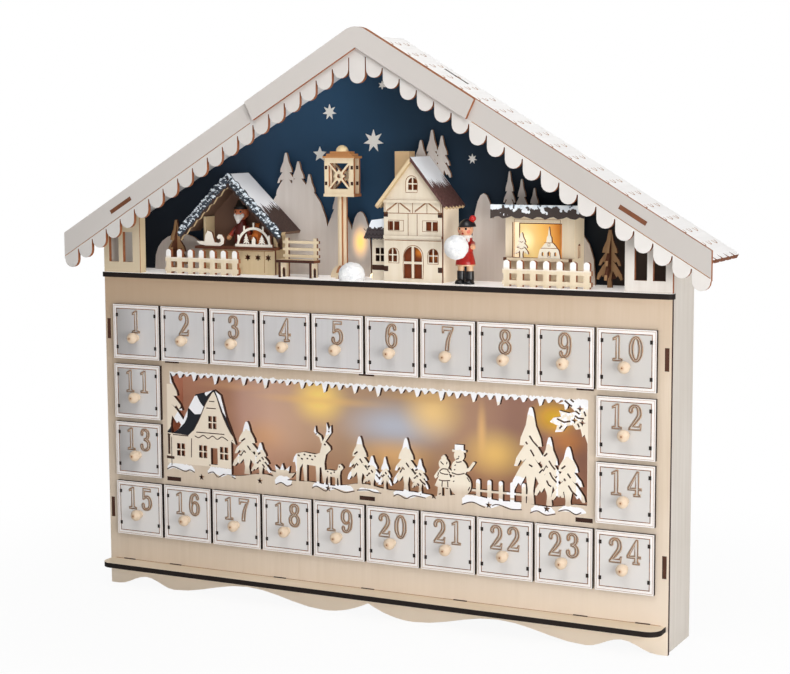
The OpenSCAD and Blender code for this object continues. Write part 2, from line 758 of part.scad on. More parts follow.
// Stage lamps as X and depth: in the left stall, behind the hill, in the cottage and the shop
stage_lamps = [[stall_x + stall_w / 4, stall_depth + lamp_d * 2],
    [(lantern_x + cottage_x - cottage_w / 2) / 2, hill_depth - lamp_d],
    [cottage_x, cottage_depth + lamp_d * 2.6], [shop_x, shop_depth + lamp_d * 2.4]];
lead_room = 2;
lead_up_x = window_lamps[1][0] + column_step / 2 - window_lamps[1][0] % column_step;

module lamp_body() {
    cylinder(h = lamp_l - lamp_d / 2, d = lamp_d);
    translate([0, 0, lamp_l - lamp_d / 2]) sphere(d = lamp_d);
}

// Each lamp is a domed diode, glued to the back panel or pushed up through the stage floor
module lamps() {
    color("Ivory") {
        for (p = window_lamps) translate([p[0], front_y + back_in, p[1]]) rotate([90, 0, 0])
            lamp_body();
        for (p = stage_lamps) translate([p[0], front_y + p[1], stage_z - thick_ply])
            lamp_body();
    }
}

lead_y = front_y + back_in - lead_d / 2 - fit;
lead_z = stage_z - thick_ply - lead_d / 2 - fit;
// The lead's route by hand: out of the battery box, past the window lamps, up behind the top
// row of drawers and on under the stage lamps
lead_route = [[-91, lead_y, 124], [-84, lead_y, 127], [-62, lead_y, 141], [-46, lead_y, 145],
    [-33, lead_y, 145], [-20, lead_y, 136], [-6, lead_y, 114], [2, lead_y, 107.6],
    [16, lead_y, 106.8], [60, lead_y, 110], [102, lead_y, 111.6], [116, lead_y, 111.3],
    [134, lead_y, 128], [143, lead_y, 143], [147, lead_y, 145.2], [152, lead_y, 146],
    [153, lead_y, 151], [148, lead_y, 153.4], [140, lead_y, 152], [100, lead_y, 148],
    [64, lead_y, 146.6], [54, lead_y, 146.6], [51, lead_y, 149], [51, lead_y, 153],
    [56, lead_y, 157], [63, lead_y, 161], [64, lead_y, 170], [63, lead_y, 216],
    [64, lead_y - 2, 226],
    [67, lead_y - 7, 229.3], [74, lead_y - 10, lead_z], [96, 11, lead_z], [122, 10.5, lead_z],
    [130, 8, lead_z], [131, 4, lead_z], [124, 1.6, lead_z], [80, 1, lead_z], [32, 1, lead_z],
    [4, 8, lead_z], [-14, 10, lead_z], [-60, 9.6, lead_z], [-101, 9, lead_z]];

function unit(v) = v / norm(v);
function tangent(p, i) = unit(p[min(i + 1, len(p) - 1)] - p[max(i - 1, 0)]);

// A round lead swept along its points, its rings turned from one fixed direction
module lead_tube(p, d, sides) {
    rings = [for (i = [0:len(p) - 1]) let (t = tangent(p, i), n = unit(cross(t, [0.2, 1, 1])),
        b = cross(t, n)) for (k = [0:sides - 1]) p[i] + d / 2 * (cos(360 * k / sides) * n
            + sin(360 * k / sides) * b)];
    faces = concat([for (i = [0:len(p) - 2], k = [0:sides - 1], h = [0, 1]) let (a = i * sides
        + k, b = i * sides + (k + 1) % sides) h ? [a, b, b + sides] : [a, b + sides, a + sides]],
        [for (k = [1:sides - 2]) [0, k + 1, k]],
        [for (k = [1:sides - 2]) (len(p) - 1) * sides * [1, 1, 1] + [0, k, k + 1]]);
    polyhedron(points = rings, faces = faces);
}

module lamp_lead() {
    color("DarkGreen") lead_tube(lead_route, lead_d, 8);
}

holder_w = cell_l + 2 * holder_wall + 8 * fit;
holder_h = 2 * cell_d + 2 * holder_wall + 6 * fit;
holder_d = cell_d + holder_wall + 2 * fit;
flange = 5;
flange_t = 1.6;
cover_t = 1.8;
rail_h = 2.4;
switch_w = 12;
switch_h = 7;

// The battery box sits in the back panel's opening by its flange, with rails for its cover
module battery_box() {
    left = holder_x - holder_w / 2;
    low = holder_z - holder_h / 2;
    color("DimGray") {
        difference() {
            union() {
                block([left + fit / 2, case_d - holder_d, low + fit / 2],
                    [holder_w - fit, holder_d, holder_h - fit]);
                block([left - switch_w - 2 * flange, case_d, low - flange],
                    [holder_w + switch_w + 3 * flange, flange_t, holder_h + 2 * flange]);
            }
            block([left + holder_wall, case_d - holder_d + holder_wall, low + holder_wall],
                [holder_w - 2 * holder_wall, holder_d + flange_t, holder_h - 2 * holder_wall]);
            block([left - flange / 2 - switch_w, case_d - over, holder_z - switch_h / 2],
                [switch_w, flange_t + 2 * over, switch_h]);
        }
        for (side = [-1, 1]) difference() {
            block([left - fit, case_d + flange_t, holder_z + side * (holder_h / 2 + flange
                - rail_h / 2) - rail_h / 2], [holder_w + flange, cover_t + 2 * fit + flange_t,
                rail_h]);
        }
    }
}

module battery_cells() {
    left = holder_x - cell_l / 2;
    color("SteelBlue") for (side = [-1, 1])
        translate([left, front_y + case_d - cell_d / 2 + fit, holder_z + side * (cell_d / 2 + fit)])
            rotate([0, 90, 0]) {
                cylinder(h = cell_l - ply / 2, d = cell_d);
                cylinder(h = cell_l, d = cell_d / 3);
            }
}

// The battery cover slides sideways between the rails
module battery_cover() {
    left = holder_x - holder_w / 2;
    h = holder_h + 2 * flange - 2 * rail_h - 2 * fit;
    color("DimGray") difference() {
        block([left, case_d + flange_t, holder_z - h / 2], [holder_w + flange - fit, cover_t, h]);
        for (i = [0:2]) block([left + holder_w - flange - i * cover_t * 1.6,
            case_d + flange_t + cover_t * 0.6, holder_z - h / 5], [cover_t * 0.8, cover_t,
            h * 0.4]);
    }
}

module power_switch() {
    left = holder_x - holder_w / 2 - flange / 2 - switch_w;
    color("Black") block([left + fit, case_d, holder_z - switch_h / 2 + fit],
        [switch_w - switch_travel - 2 * fit, flange_t + cover_t, switch_h - 2 * fit]);
}

// Roof and fascias

function roof_len() = (eave_x - ply * pitch) * sqrt(1 + pitch * pitch);

// A roof board, drawn flat from the ridge to its lobed eave and then tilted
module roof_board(side) {
    depth = case_d + roof_rear + fascia_reach - ply;
    lobe = depth / eave_lobes;
    start = -fascia_reach + ply;
    mirror([side > 0 ? 0 : 1, 0, 0]) difference() {
        translate([0, front_y, roof_top_z]) rotate([0, atan(pitch), 0]) translate([0, 0, -ply])
            linear_extrude(ply) {
                translate([-ply, start]) square([roof_len() - eave_lobe_h + ply, depth]);
                for (i = [0:eave_lobes - 1]) translate([roof_len() - eave_lobe_h,
                    start + lobe * (i + 0.5)]) intersection() {
                        circle(d = lobe - scallop_slit);
                        translate([-over, -lobe]) square([eave_lobe_h + over, 2 * lobe]);
                    }
                for (x = [inner_tenon_x, outer_tenon_x])
                    translate([(x - roof_tenon_w / 2) * sqrt(1 + pitch * pitch), start - ply])
                        square([roof_tenon_w * sqrt(1 + pitch * pitch), ply + over]);
            }
        translate([-peak_z, front_y - case_d, roof_top_z - peak_z / 2])
            cube([peak_z, 4 * case_d, peak_z]);
        for (x = [inner_tenon_x, outer_tenon_x]) upright(back_in, ply) polygon(roof_tenon(x));
    }
}

module roof_left() { color(white_color) roof_board(-1); }
module roof_right() { color(white_color) roof_board(1); }

tip_angle = atan(pitch);
tip_centre_z = peak_z - peak_round / cos(tip_angle);
tip_steps = 4;
// The rounded tip from the middle to where it meets the straight edge
function tip() = [for (i = [0:tip_steps]) let (a = 90 - tip_angle * i / tip_steps)
    [peak_round * cos(a), tip_centre_z + peak_round * sin(a)]];

function fascia_z(x) = peak_z - pitch * x;

scallop_steps = 8;
function valley_z(x) = fascia_z(x) - valley_drop;
// The half round of a scallop's tip from one angle to another
function scallop_arc(x, low, w, from, to) = [for (i = [0:scallop_steps])
    let (a = from + (to - from) * i / scallop_steps) [x + w / 2 * cos(a), low + w / 2 * sin(a)]];

// Half a fascia: a sloping board with a fringe of hanging scallops
module fascia_half() {
    w = scallop_step - scallop_slit;
    difference() {
        polygon(concat([for (p = tip()) p], [[eave_x, fascia_z(eave_x)], [eave_x,
            valley_z(eave_x)]], [for (i = [scallops:-1:1]) let (x = i * scallop_step)
            each concat([[x + w / 2, valley_z(x + scallop_step / 2)]], scallop_arc(x, fascia_z(x)
            - scallop_drop + w / 2, w, 0, -180), [[x - w / 2, valley_z(x - scallop_step / 2)]])],
            [[w / 2, valley_z(scallop_step / 2)]],
            scallop_arc(0, peak_z - centre_drop + w / 2, w, 0, -90)));
        for (x = [inner_tenon_x, outer_tenon_x]) polygon([
            roof_point(x - roof_tenon_w / 2, 0), roof_point(x + roof_tenon_w / 2, 0),
            roof_point(x + roof_tenon_w / 2, ply), roof_point(x - roof_tenon_w / 2, ply)]);
    }
}

// A point on the roof board's upper face by its half width, or as far under it as deep
function roof_point(x, deep) = [x, roof_top_z - pitch * x] - deep * [sin(tip_angle),
    cos(tip_angle)];

module fascia_left() {
    color(white_color) upright(-fascia_reach, ply) mirror([1, 0]) fascia_half();
}

module fascia_right() {
    color(white_color) upright(-fascia_reach, ply) fascia_half();
}

// The chevron covers the seam where the fascias meet
chevron_top_x = chevron_x + chevron_h * 0.18;
chevron_low_x = chevron_x - chevron_h * 0.2;
function chevron_half() = concat(tip(), [[chevron_top_x, fascia_z(chevron_top_x)],
    [chevron_low_x, fascia_z(chevron_low_x) - chevron_h]]);

module gable_chevron() {
    color(white_color) upright(-fascia_reach - ply, ply)
        polygon(concat(chevron_half(), [[0, peak_z - chevron_h]], flipped(chevron_half())));
}

// A slotted white panel at each end of the stage, with a batten on its inner edge
module gable_panes() {
    batten_w = 3.3;
    batten_d = 7.5;
    gap = (pane_w - 2 * pane_slot_w) / 3;
    color(white_color) for (side = [0, 1]) mirror([side, 0, 0]) {
        upright(0, ply) difference() {
            polygon([[half_w - pane_w, stage_z], [half_w, stage_z], [half_w, under_z(half_w)],
                [half_w - pane_w, under_z(half_w - pane_w)]]);
            for (i = [0, 1]) bar(half_w - pane_w + gap * (i + 0.8) + pane_slot_w * i,
                stage_z + pane_slot_z, pane_slot_w, pane_slot_h);
        }
        upright(0, batten_d) polygon([[half_w - pane_w - batten_w, stage_z],
            [half_w - pane_w, stage_z], [half_w - pane_w, under_z(half_w - pane_w)],
            [half_w - pane_w - batten_w, under_z(half_w - pane_w)]]);
    }
}

// Stage

// Stars on the sky: place and size as shares of the stage's half width and height, points
sky_star_shares = [[-0.232, 0.71, 0.068, 7], [-0.068, 0.585, 0.098, 7],
    [-0.27, 0.527, 0.068, 5], [-0.035, 0.822, 0.037, 6], [0.288, 0.51, 0.043, 7]];

module sky_panel() {
    color("MidnightBlue") upright(sky_depth, thin_ply) polygon([[-side_in, stage_z],
        [side_in, stage_z], [side_in, under_z(side_in)], [0, roof_under_z],
        [-side_in, under_z(side_in)]]);
    color(white_color) upright(sky_depth - star_t, star_t + over) for (s = sky_star_shares)
        star(s[0] * side_in, stage_z + s[1] * stage_h, s[2] * stage_h, s[3], 0.45);
}

// Hills cut from one thickness: middle as a share of the stage's half width, width and height
// as shares of its height
hill_shares = [[-0.815, 0.29, 0.165], [-0.351, 0.344, 0.405], [-0.187, 0.16, 0.282],
    [-0.108, 0.104, 0.282], [0.337, 0.11, 0.368], [0.422, 0.209, 0.319],
    [0.562, 0.405, 0.27], [0.148, 0.27, 0.429]];
// Their firs: middle, foot, width and height as shares alike
hill_fir_shares = [[-0.389, 0.319, 0.104, 0.215], [-0.342, 0.307, 0.098, 0.19],
    [-0.3, 0.245, 0.092, 0.196], [-0.197, 0.172, 0.067, 0.196], [0.426, 0.252, 0.061, 0.209],
    [0.468, 0.245, 0.061, 0.184], [0.511, 0.233, 0.061, 0.16], [0.115, 0.405, 0.086, 0.184],
    [0.155, 0.405, 0.086, 0.227], [0.19, 0.405, 0.086, 0.202]];

module dome_hill(x, w, h) {
    steps = 12;
    translate([x, stage_z]) polygon([for (i = [0:steps]) let (a = 180 * i / steps)
        [w / 2 * cos(a), h * pow(sin(a), 0.7)]]);
}

module hill_panel() {
    color("Gainsboro") upright(hill_depth, thin_ply) {
        for (s = hill_shares) dome_hill(s[0] * side_in, s[1] * stage_h, s[2] * stage_h);
        for (s = hill_fir_shares) fir(s[0] * side_in, stage_z + s[1] * stage_h, s[2] * stage_h,
            s[3] * stage_h);
    }
}

module fence(x) {
    step = (fence_w - picket_w) / (pickets - 1);
    upright(fence_depth, ply) {
        for (i = [0:pickets - 1]) {
            px = x - fence_w / 2 + picket_w / 2 + step * i;
            middle_bar(px, stage_z, picket_w, fence_h - picket_w / 4);
            translate([px, stage_z + fence_h - picket_w / 2]) circle(d = picket_w);
        }
        for (share = [0.08, 0.5]) middle_bar(x, stage_z + fence_h * share, fence_w + picket_w / 2,
            fence_h * 0.17);
    }
    for (side = [-1, 1]) block([x + side * (fence_w / 2 - picket_w / 2) - thin_ply / 2,
        fence_depth + ply, stage_z], [thin_ply, ply, fence_h * 0.3]);
}

module picket_fences() {
    color("Wheat") {
        fence(left_fence_x);
        fence(right_fence_x);
    }
}

// Two fir cut-outs halved into each other
module crossed_fir(x) {
    slot_z = stage_z + fir_h / 2;
    difference() {
        upright(fir_depth - thin_ply / 2, thin_ply) fir(x, stage_z, fir_w, fir_h);
        block([x - thin_ply / 2, fir_depth - thin_ply, slot_z], [thin_ply, 2 * thin_ply, fir_h]);
    }
    difference() {
        endways(x - thin_ply / 2, thin_ply) fir(fir_depth, stage_z, fir_w, fir_h);
        block([x - thin_ply, fir_depth - thin_ply / 2, stage_z - over], [2 * thin_ply, thin_ply,
            fir_h / 2 + over]);
    }
}

module crossed_firs() {
    color("Peru") {
        crossed_fir(left_fir_x);
        crossed_fir(right_fir_x);
    }
}

// Left stall

stall_roof_t = thin_ply * sqrt(1 + stall_pitch * stall_pitch);
function stall_z(dx) = stage_z + stall_ridge_h - stall_pitch * abs(dx);
function stall_under(dx) = stall_z(dx) - stall_roof_t;
stall_back = hill_depth - fit;
counter_over = 3;
counter_d = 11;

// A candle arch as shares of its width and height
arch_w = 31;
arch_h = 15;
module candle_arch(x, z) {
    translate([x, z]) {
        difference() {
            union() {
                intersection() {
                    circle(d = arch_w * 0.92);
                    bar(-arch_w, 0, 2 * arch_w, arch_w);
                }
                middle_bar(0, -over, arch_w, arch_h * 0.14 + over);
                for (a = [20:35:160]) translate([arch_w * 0.44 * cos(a), arch_w * 0.44 * sin(a)])
                    middle_bar(0, 0, arch_w * 0.045, arch_h * 0.26);
            }
            difference() {
                intersection() {
                    circle(d = arch_w * 0.8);
                    bar(-arch_w, arch_h * 0.14, 2 * arch_w, arch_w);
                }
                fir(-arch_w * 0.2, arch_h * 0.08, arch_w * 0.16, arch_h * 0.56);
                fir(arch_w * 0.22, arch_h * 0.08, arch_w * 0.18, arch_h * 0.5);
                polygon(scaled([[-0.05, 0.1], [-0.05, 0.36], [0, 0.5], [0.05, 0.36],
                    [0.05, 0.1]], arch_w, arch_h));
            }
        }
    }
}

// A sleigh as shares of its length and height
sleigh_w = 24;
sleigh_h = 11;
sleigh_shares = [[0, 0.32], [0.12, 0.1], [0.35, 0], [0.85, 0], [0.98, 0.16], [1, 0.5],
    [0.92, 0.75], [0.8, 0.78], [0.74, 0.6], [0.78, 0.45], [0.86, 0.5], [0.88, 0.3], [0.8, 0.2],
    [0.66, 0.24], [0.62, 0.5], [0.56, 0.9], [0.42, 1], [0.32, 0.7], [0.3, 0.3], [0.16, 0.3]];

module stall_walls() {
    left = stall_x - stall_w / 2;
    color("Wheat") {
        upright(stall_depth, thin_ply) difference() {
            bar(left, stage_z, stall_w, counter_h);
            for (i = [0:2]) star(stall_x + stall_w * (0.13 + 0.14 * i),
                stage_z + counter_h * 0.68, counter_h * 0.3, 6, 0.5);
        }
        for (side = [-1, 1]) {
            wall_x = side < 0 ? left : left + stall_w - thin_ply;
            endways(wall_x, thin_ply) difference() {
                bar(stall_depth + thin_ply, stage_z, stall_back - stall_depth - thin_ply,
                    stall_under(stall_w / 2) - stage_z);
                arched((stall_depth + stall_back) / 2, stage_z + counter_h, thin_ply * 3,
                    counter_h * 0.6);
            }
        }
        upright(stall_back - thin_ply, thin_ply) polygon([[left + thin_ply, stage_z],
            [left + stall_w - thin_ply, stage_z],
            [left + stall_w - thin_ply, stall_under(stall_w / 2 - thin_ply)],
            [stall_x, stall_under(0)], [left + thin_ply, stall_under(stall_w / 2 - thin_ply)]]);
        flat(stage_z + counter_h, thin_ply) middle_bar(stall_x, stall_depth - counter_d / 2,
            stall_w + 2 * counter_over, counter_d / 2 + thin_ply);
    }
    color(white_color) {
        upright(stall_depth - counter_d / 3, thin_ply) translate([left - counter_over,
            stage_z + counter_h + thin_ply]) polygon(scaled(sleigh_shares, sleigh_w, sleigh_h));
        upright(stall_depth - counter_d / 3, thin_ply)
            candle_arch(stall_x + stall_w * 0.25, stage_z + counter_h + thin_ply);
    }
}

garland_steps = 26;
garland_wave = 0.9;

// Half a garland board: both of its edges wave along the slope
module garland_half() {
    upper = [for (i = [0:garland_steps]) let (x = stall_eave_x * i / garland_steps)
        [x, stall_z(x) - stage_z + garland_wave * (0.6 + sin(i * 97))]];
    lower = [for (i = [garland_steps:-1:0]) let (x = (stall_eave_x - garland_w / 4) * i
        / garland_steps) [x, stall_z(x) - stage_z - garland_w - garland_wave * sin(i * 97 + 50)]];
    translate([stall_x, stage_z]) polygon(concat(upper, lower));
}

module stall_roof() {
    front = stall_depth - counter_d;
    color(burnt_color) {
        for (side = [0, 1]) translate([stall_x, 0]) mirror([side, 0, 0])
            translate([-stall_x, 0]) {
                upright(front, stall_back - front) polygon([[stall_x, stall_z(0)],
                    [stall_x + stall_eave_x, stall_z(stall_eave_x)],
                    [stall_x + stall_eave_x - thin_ply * stall_pitch / 2,
                     stall_under(stall_eave_x - thin_ply * stall_pitch / 2)],
                    [stall_x, stall_under(0)]]);
                upright(front - thin_ply, thin_ply) garland_half();
            }
    }
}

// Figures are turned from wood: stacked rounds with round-ended arms

limb_steps = 5;
module limb(a, b, d) {
    v = b - a;
    h = norm(v);
    arc = [for (i = [0:limb_steps]) d / 2 * [sin(90 * i / limb_steps), -cos(90 * i / limb_steps)]];
    translate(a) rotate([0, acos(v[2] / h), atan2(v[1], v[0])]) rotate_extrude()
        polygon(concat(arc, [for (i = [limb_steps:-1:0]) [arc[i][0], h - arc[i][1]]]));
}

keeper_x = stall_x - 1.5;
keeper_h = 53;
keeper_w = 15.5;
keeper_depth = (stall_depth + stall_back) / 2;

module stall_keeper() {
    head = keeper_h * 0.2;
    translate([keeper_x, front_y + keeper_depth, stage_z]) color("DarkRed") {
        rotate_extrude() polygon(scaled([[0, 0], [0.36, 0], [0.36, 0.3], [0.34, 0.5], [0.26, 0.66],
            [0.14, 0.76], [0, 0.76]], keeper_w, keeper_h));
        translate([0, 0, keeper_h * 0.83]) sphere(d = head);
        translate([0, 0, keeper_h * 0.88]) cylinder(h = keeper_h * 0.03, d = head * 1.12);
        translate([0, 0, keeper_h * 0.9]) cylinder(h = keeper_h * 0.1, d1 = head * 0.9,
            d2 = head * 0.5);
        for (side = [-1, 1]) limb([side * keeper_w * 0.3, 0, keeper_h * 0.62],
            [side * keeper_w * 0.62, -head * 0.25, keeper_h * 0.48], keeper_w * 0.22);
    }
}

child_w = child_h * 0.3;

module child_figure() {
    ball_y = -(child_w / 2 + ball_d / 2 + fit);
    translate([child_x, front_y + child_depth, stage_z]) color("FireBrick") {
        for (side = [-1, 1]) {
            translate([side * child_w * 0.25, 0, 0]) {
                cylinder(h = child_h * 0.2, d = child_w * 0.42);
                translate([0, -child_w * 0.12, 0]) intersection() {
                    sphere(d = child_w * 0.56);
                    cylinder(h = child_w, d = child_w);
                }
                translate([0, 0, child_h * 0.2]) cylinder(h = child_h * 0.1, d = child_w * 0.34);
            }
            limb([side * child_w * 0.4, 0, child_h * 0.62],
                [side * child_w * 0.74, ball_y * 0.62, child_h * 0.58], child_w * 0.26);
        }
        translate([0, 0, child_h * 0.28]) rotate_extrude() polygon(scaled([[0, 0], [0.52, 0],
            [0.5, 0.06], [0.38, 0.2], [0.42, 0.34], [0.3, 0.44], [0, 0.44]], child_w, child_h));
        translate([0, 0, child_h * 0.83]) sphere(d = child_w * 0.8);
        translate([child_w * 0.1, 0, child_h * 0.86]) intersection() {
            sphere(d = child_w * 0.9);
            translate([-child_w, -child_w, child_w * 0.05]) cube(2 * child_w);
        }
        translate([child_w * 0.4, 0, child_h]) sphere(d = child_w * 0.34);
    }
}

module snow_heaps() {
    color("White") {
        translate([child_x, front_y + child_depth - child_w / 2 - ball_d / 2 + 2 * fit,
            stage_z + child_h * 0.58]) sphere(d = ball_d);
        intersection() {
            translate([heap_x, front_y + fence_depth, stage_z + heap_d * 0.18]) sphere(d = heap_d);
            block([heap_x - heap_d, -heap_d, stage_z], [2 * heap_d, 3 * heap_d, heap_d]);
        }
    }
}

// Bench and lantern

module park_bench() {
    seat_d = 9;
    left = bench_x - bench_w / 2;
    back = bench_depth + seat_d;
    color("Wheat") {
        flat(stage_z + bench_seat_h - thin_ply, thin_ply) middle_bar(bench_x, bench_depth,
            bench_w, seat_d);
        for (side = [-1, 1]) endways(bench_x + side * (bench_w / 2 - 1.5 * thin_ply)
            - thin_ply / 2, thin_ply) difference() {
                bar(bench_depth + fit, stage_z, seat_d - 2 * fit, bench_seat_h - thin_ply);
                arched(bench_depth + seat_d / 2, stage_z - over, seat_d * 0.45,
                    bench_seat_h * 0.55 + over);
            }
        upright(back, thin_ply) {
            for (side = [-1, 1]) middle_bar(bench_x + side * (bench_w / 2 - 2 * thin_ply),
                stage_z, thin_ply * 1.3, bench_h);
            for (i = [0:2]) middle_bar(bench_x, stage_z + bench_seat_h + thin_ply * 0.6
                + i * (bench_h - bench_seat_h - thin_ply * 1.6) / 2.4, bench_w - thin_ply,
                thin_ply);
        }
    }
}

post_w = 7;
mound_d = 19;
lantern_d = 10;

// The lantern stands on a post halved from two crossing strips with rounded feet
module lantern_post() {
    head_z = stage_z + lantern_post_h + thin_ply;
    frame_w = lantern_w / 7;
    color("Wheat") {
        difference() {
            upright(lantern_depth - thin_ply / 2, thin_ply) {
                middle_bar(lantern_x, stage_z, post_w, lantern_post_h);
                intersection() {
                    translate([lantern_x, stage_z]) circle(d = mound_d);
                    middle_bar(lantern_x, stage_z, mound_d, mound_d);
                }
            }
            block([lantern_x - thin_ply / 2, lantern_depth - thin_ply, stage_z
                + lantern_post_h / 2], [thin_ply, 2 * thin_ply, lantern_post_h]);
        }
        difference() {
            endways(lantern_x - thin_ply / 2, thin_ply) {
                middle_bar(lantern_depth, stage_z, post_w, lantern_post_h);
                intersection() {
                    translate([lantern_depth, stage_z]) circle(d = mound_d);
                    middle_bar(lantern_depth, stage_z, mound_d, mound_d);
                }
            }
            block([lantern_x - thin_ply, lantern_depth - thin_ply / 2, stage_z - over],
                [2 * thin_ply, thin_ply, lantern_post_h / 2 + over]);
        }
        flat(stage_z + lantern_post_h, thin_ply) middle_bar(lantern_x,
            lantern_depth - lantern_d * 0.55, lantern_w * 1.05, lantern_d * 1.1);
        for (y = [lantern_depth - lantern_d / 2, lantern_depth + lantern_d / 2 - thin_ply])
            upright(y, thin_ply) lantern_face(head_z, frame_w);
        for (side = [-1, 1]) endways(lantern_x + side * (lantern_w / 2 - 2 * thin_ply)
            - thin_ply / 2, thin_ply) difference() {
                bar(lantern_depth - lantern_d / 2 + thin_ply, head_z, lantern_d - 2 * thin_ply,
                    lantern_h);
                bar(lantern_depth - lantern_d / 5, head_z + frame_w, lantern_d * 0.4,
                    lantern_h - 2 * frame_w);
            }
        for (i = [0:2]) flat(head_z + lantern_h + i * thin_ply * 0.8, thin_ply * 0.8)
            middle_bar(lantern_x, lantern_depth - lantern_d * (0.6 - 0.12 * i),
                lantern_w * (1.08 - 0.2 * i), lantern_d * (1.2 - 0.24 * i));
        translate([lantern_x, front_y + lantern_depth, head_z + lantern_h + thin_ply * 2.4])
            intersection() {
                sphere(d = lantern_w * 0.38);
                cylinder(h = lantern_w, d = lantern_w);
            }
    }
}

// A lantern face: a frame with a cross of bars and a rosette in the middle
module lantern_face(z, frame_w) {
    middle = z + lantern_h / 2;
    in_w = lantern_w - 2 * frame_w;
    in_h = lantern_h - 2 * frame_w;
    brace = sqrt(in_w * in_w + in_h * in_h);
    difference() {
        middle_bar(lantern_x, z, lantern_w, lantern_h);
        difference() {
            middle_bar(lantern_x, z + frame_w, in_w, in_h);
            for (side = [-1, 1]) translate([lantern_x, middle]) rotate(side * atan(in_h / in_w))
                square([brace, frame_w * 0.42], center = true);
            star(lantern_x, middle, frame_w * 3, 8, 0.66);
        }
        star(lantern_x, middle, frame_w * 1.1, 8, 0.66);
    }
}

// Cottage

cottage_ridge = cottage_wall_h + cottage_pitch * cottage_w / 2;
cottage_t = thin_ply * sqrt(1 + cottage_pitch * cottage_pitch);
function cottage_z(dx) = stage_z + cottage_ridge + cottage_t - cottage_pitch * abs(dx);
cottage_back = hill_depth - fit;
lean_h = 29;
lean_fall = 14;

// An arched window with two bars
module arched_window(x, z, w, h) {
    difference() {
        arched(x, z, w, h);
        middle_bar(x, z - over, w * 0.14, h + 2 * over);
        bar(x - w, z + h * 0.45, 2 * w, w * 0.12);
    }
}

module cottage_front() {
    w = cottage_w;
    h = cottage_wall_h;
    translate([cottage_x, stage_z]) difference() {
        polygon([[-w / 2, 0], [w / 2, 0], [w / 2, h], [0, cottage_ridge], [-w / 2, h]]);
        arched_window(0, h * 0.05, w * 0.31, h * 0.39);
        for (side = [-1, 1]) {
            arched_window(side * w * 0.35, h * 0.25, w * 0.15, h * 0.17);
            for (shift = [-0.055, 0.055]) middle_bar(side * w * 0.33 + shift * w, h * 0.64, w * 0.09,
                h * 0.11);
        }
        arched_window(0, h * 1.14, w * 0.15, h * 0.15);
    }
}

module cottage_walls() {
    left = cottage_x - cottage_w / 2;
    inner = cottage_back - cottage_depth - thin_ply;
    color("Wheat") {
        upright(cottage_depth, thin_ply) cottage_front();
        for (x = [left, left + cottage_w - thin_ply]) block([x, cottage_depth + thin_ply, stage_z],
            [thin_ply, inner, cottage_wall_h]);
        upright(cottage_back - thin_ply, thin_ply) polygon([[left + thin_ply, stage_z],
            [left + cottage_w - thin_ply, stage_z], [left + cottage_w - thin_ply,
            stage_z + cottage_wall_h], [left + thin_ply, stage_z + cottage_wall_h]]);
        for (z = [cottage_wall_h * 0.54, cottage_wall_h * 0.98]) block([left,
            cottage_depth - thin_ply / 2, stage_z + z], [cottage_w, thin_ply / 2, thin_ply]);
    }
    lean_x = left - lean_w * 0.72;
    color("Wheat") {
        upright(cottage_depth + thin_ply * 3, thin_ply) difference() {
            bar(lean_x, stage_z, left - lean_x, lean_h);
            four_panes(lean_x + lean_w * 0.16, stage_z + lean_h * 0.45);
        }
        block([lean_x, cottage_depth + 4 * thin_ply, stage_z], [thin_ply, inner / 2, lean_h]);
    }
}

cottage_lobes = 6;
chimney_w = 11;

module cottage_roof() {
    front = cottage_depth - thin_ply * 1.8;
    depth = cottage_back - front;
    lobe = depth / cottage_lobes;
    run = cottage_eave_x * sqrt(1 + cottage_pitch * cottage_pitch);
    color(burnt_color) {
        for (side = [0, 1]) translate([cottage_x, 0, 0]) mirror([side, 0, 0]) difference() {
            translate([0, front_y + front, cottage_z(0)]) rotate([0, atan(cottage_pitch), 0])
                translate([0, 0, -thin_ply]) linear_extrude(thin_ply) {
                    translate([-thin_ply, 0]) square([run - lobe / 4 + thin_ply, depth]);
                    for (i = [0:cottage_lobes - 1]) translate([run - lobe / 4, lobe * (i + 0.5)])
                        circle(d = lobe);
                }
            translate([-cottage_w, front_y - over, stage_z]) cube([cottage_w, case_d, peak_z]);
        }
        chimney_x = cottage_x - chimney_w * 1.35;
        difference() {
            block([chimney_x - chimney_w / 2, hill_depth - chimney_w * 1.2, stage_z + cottage_ridge
                - chimney_w * 1.5], [chimney_w, chimney_w * 0.8, chimney_w * 2.1]);
            upright(0, case_d) polygon([[cottage_x, cottage_z(0)], [cottage_x - cottage_w,
                cottage_z(cottage_w)], [cottage_x - cottage_w, stage_z], [cottage_x, stage_z]]);
        }
        translate([0, 0, stage_z + lean_h]) upright(cottage_depth + thin_ply, lobe * 3)
            polygon([[cottage_x - cottage_w / 2 - lean_w, 0], [cottage_x - cottage_w / 2 - fit, 0],
                [cottage_x - cottage_w / 2 - fit, lean_fall], [cottage_x - cottage_w / 2
                - lean_w * 0.62, lean_fall * 0.9]]);
    }
}

// Right stall

module shop_front() {
    w = shop_w;
    translate([shop_x, stage_z]) difference() {
        middle_bar(0, 0, w, shop_h);
        middle_bar(-w * 0.04, shop_h * 0.4, w * 0.72, shop_h * 0.5);
    }
}

// Snow-topped boards that hang from the right stall's roof, waved along their lower edge
module valance(w) {
    steps = 22;
    polygon(concat([[-w / 2, shop_h * 0.215], [w / 2, shop_h * 0.215]], [for (i = [steps:-1:0])
        [w * (i / steps - 0.5), shop_h * (0.035 - 0.02 * cos(i * 110))]]));
}

// A church with a pointed tower, as shares of its width and height
church_shares = [[-0.5, 0], [0.5, 0], [0.42, 0.26], [0.2, 0.46], [0.12, 0.5], [0.1, 0.66],
    [0.05, 0.72], [0, 1], [-0.05, 0.72], [-0.1, 0.66], [-0.12, 0.5], [-0.22, 0.44],
    [-0.42, 0.26]];
church_w = 16;
church_h = 21;

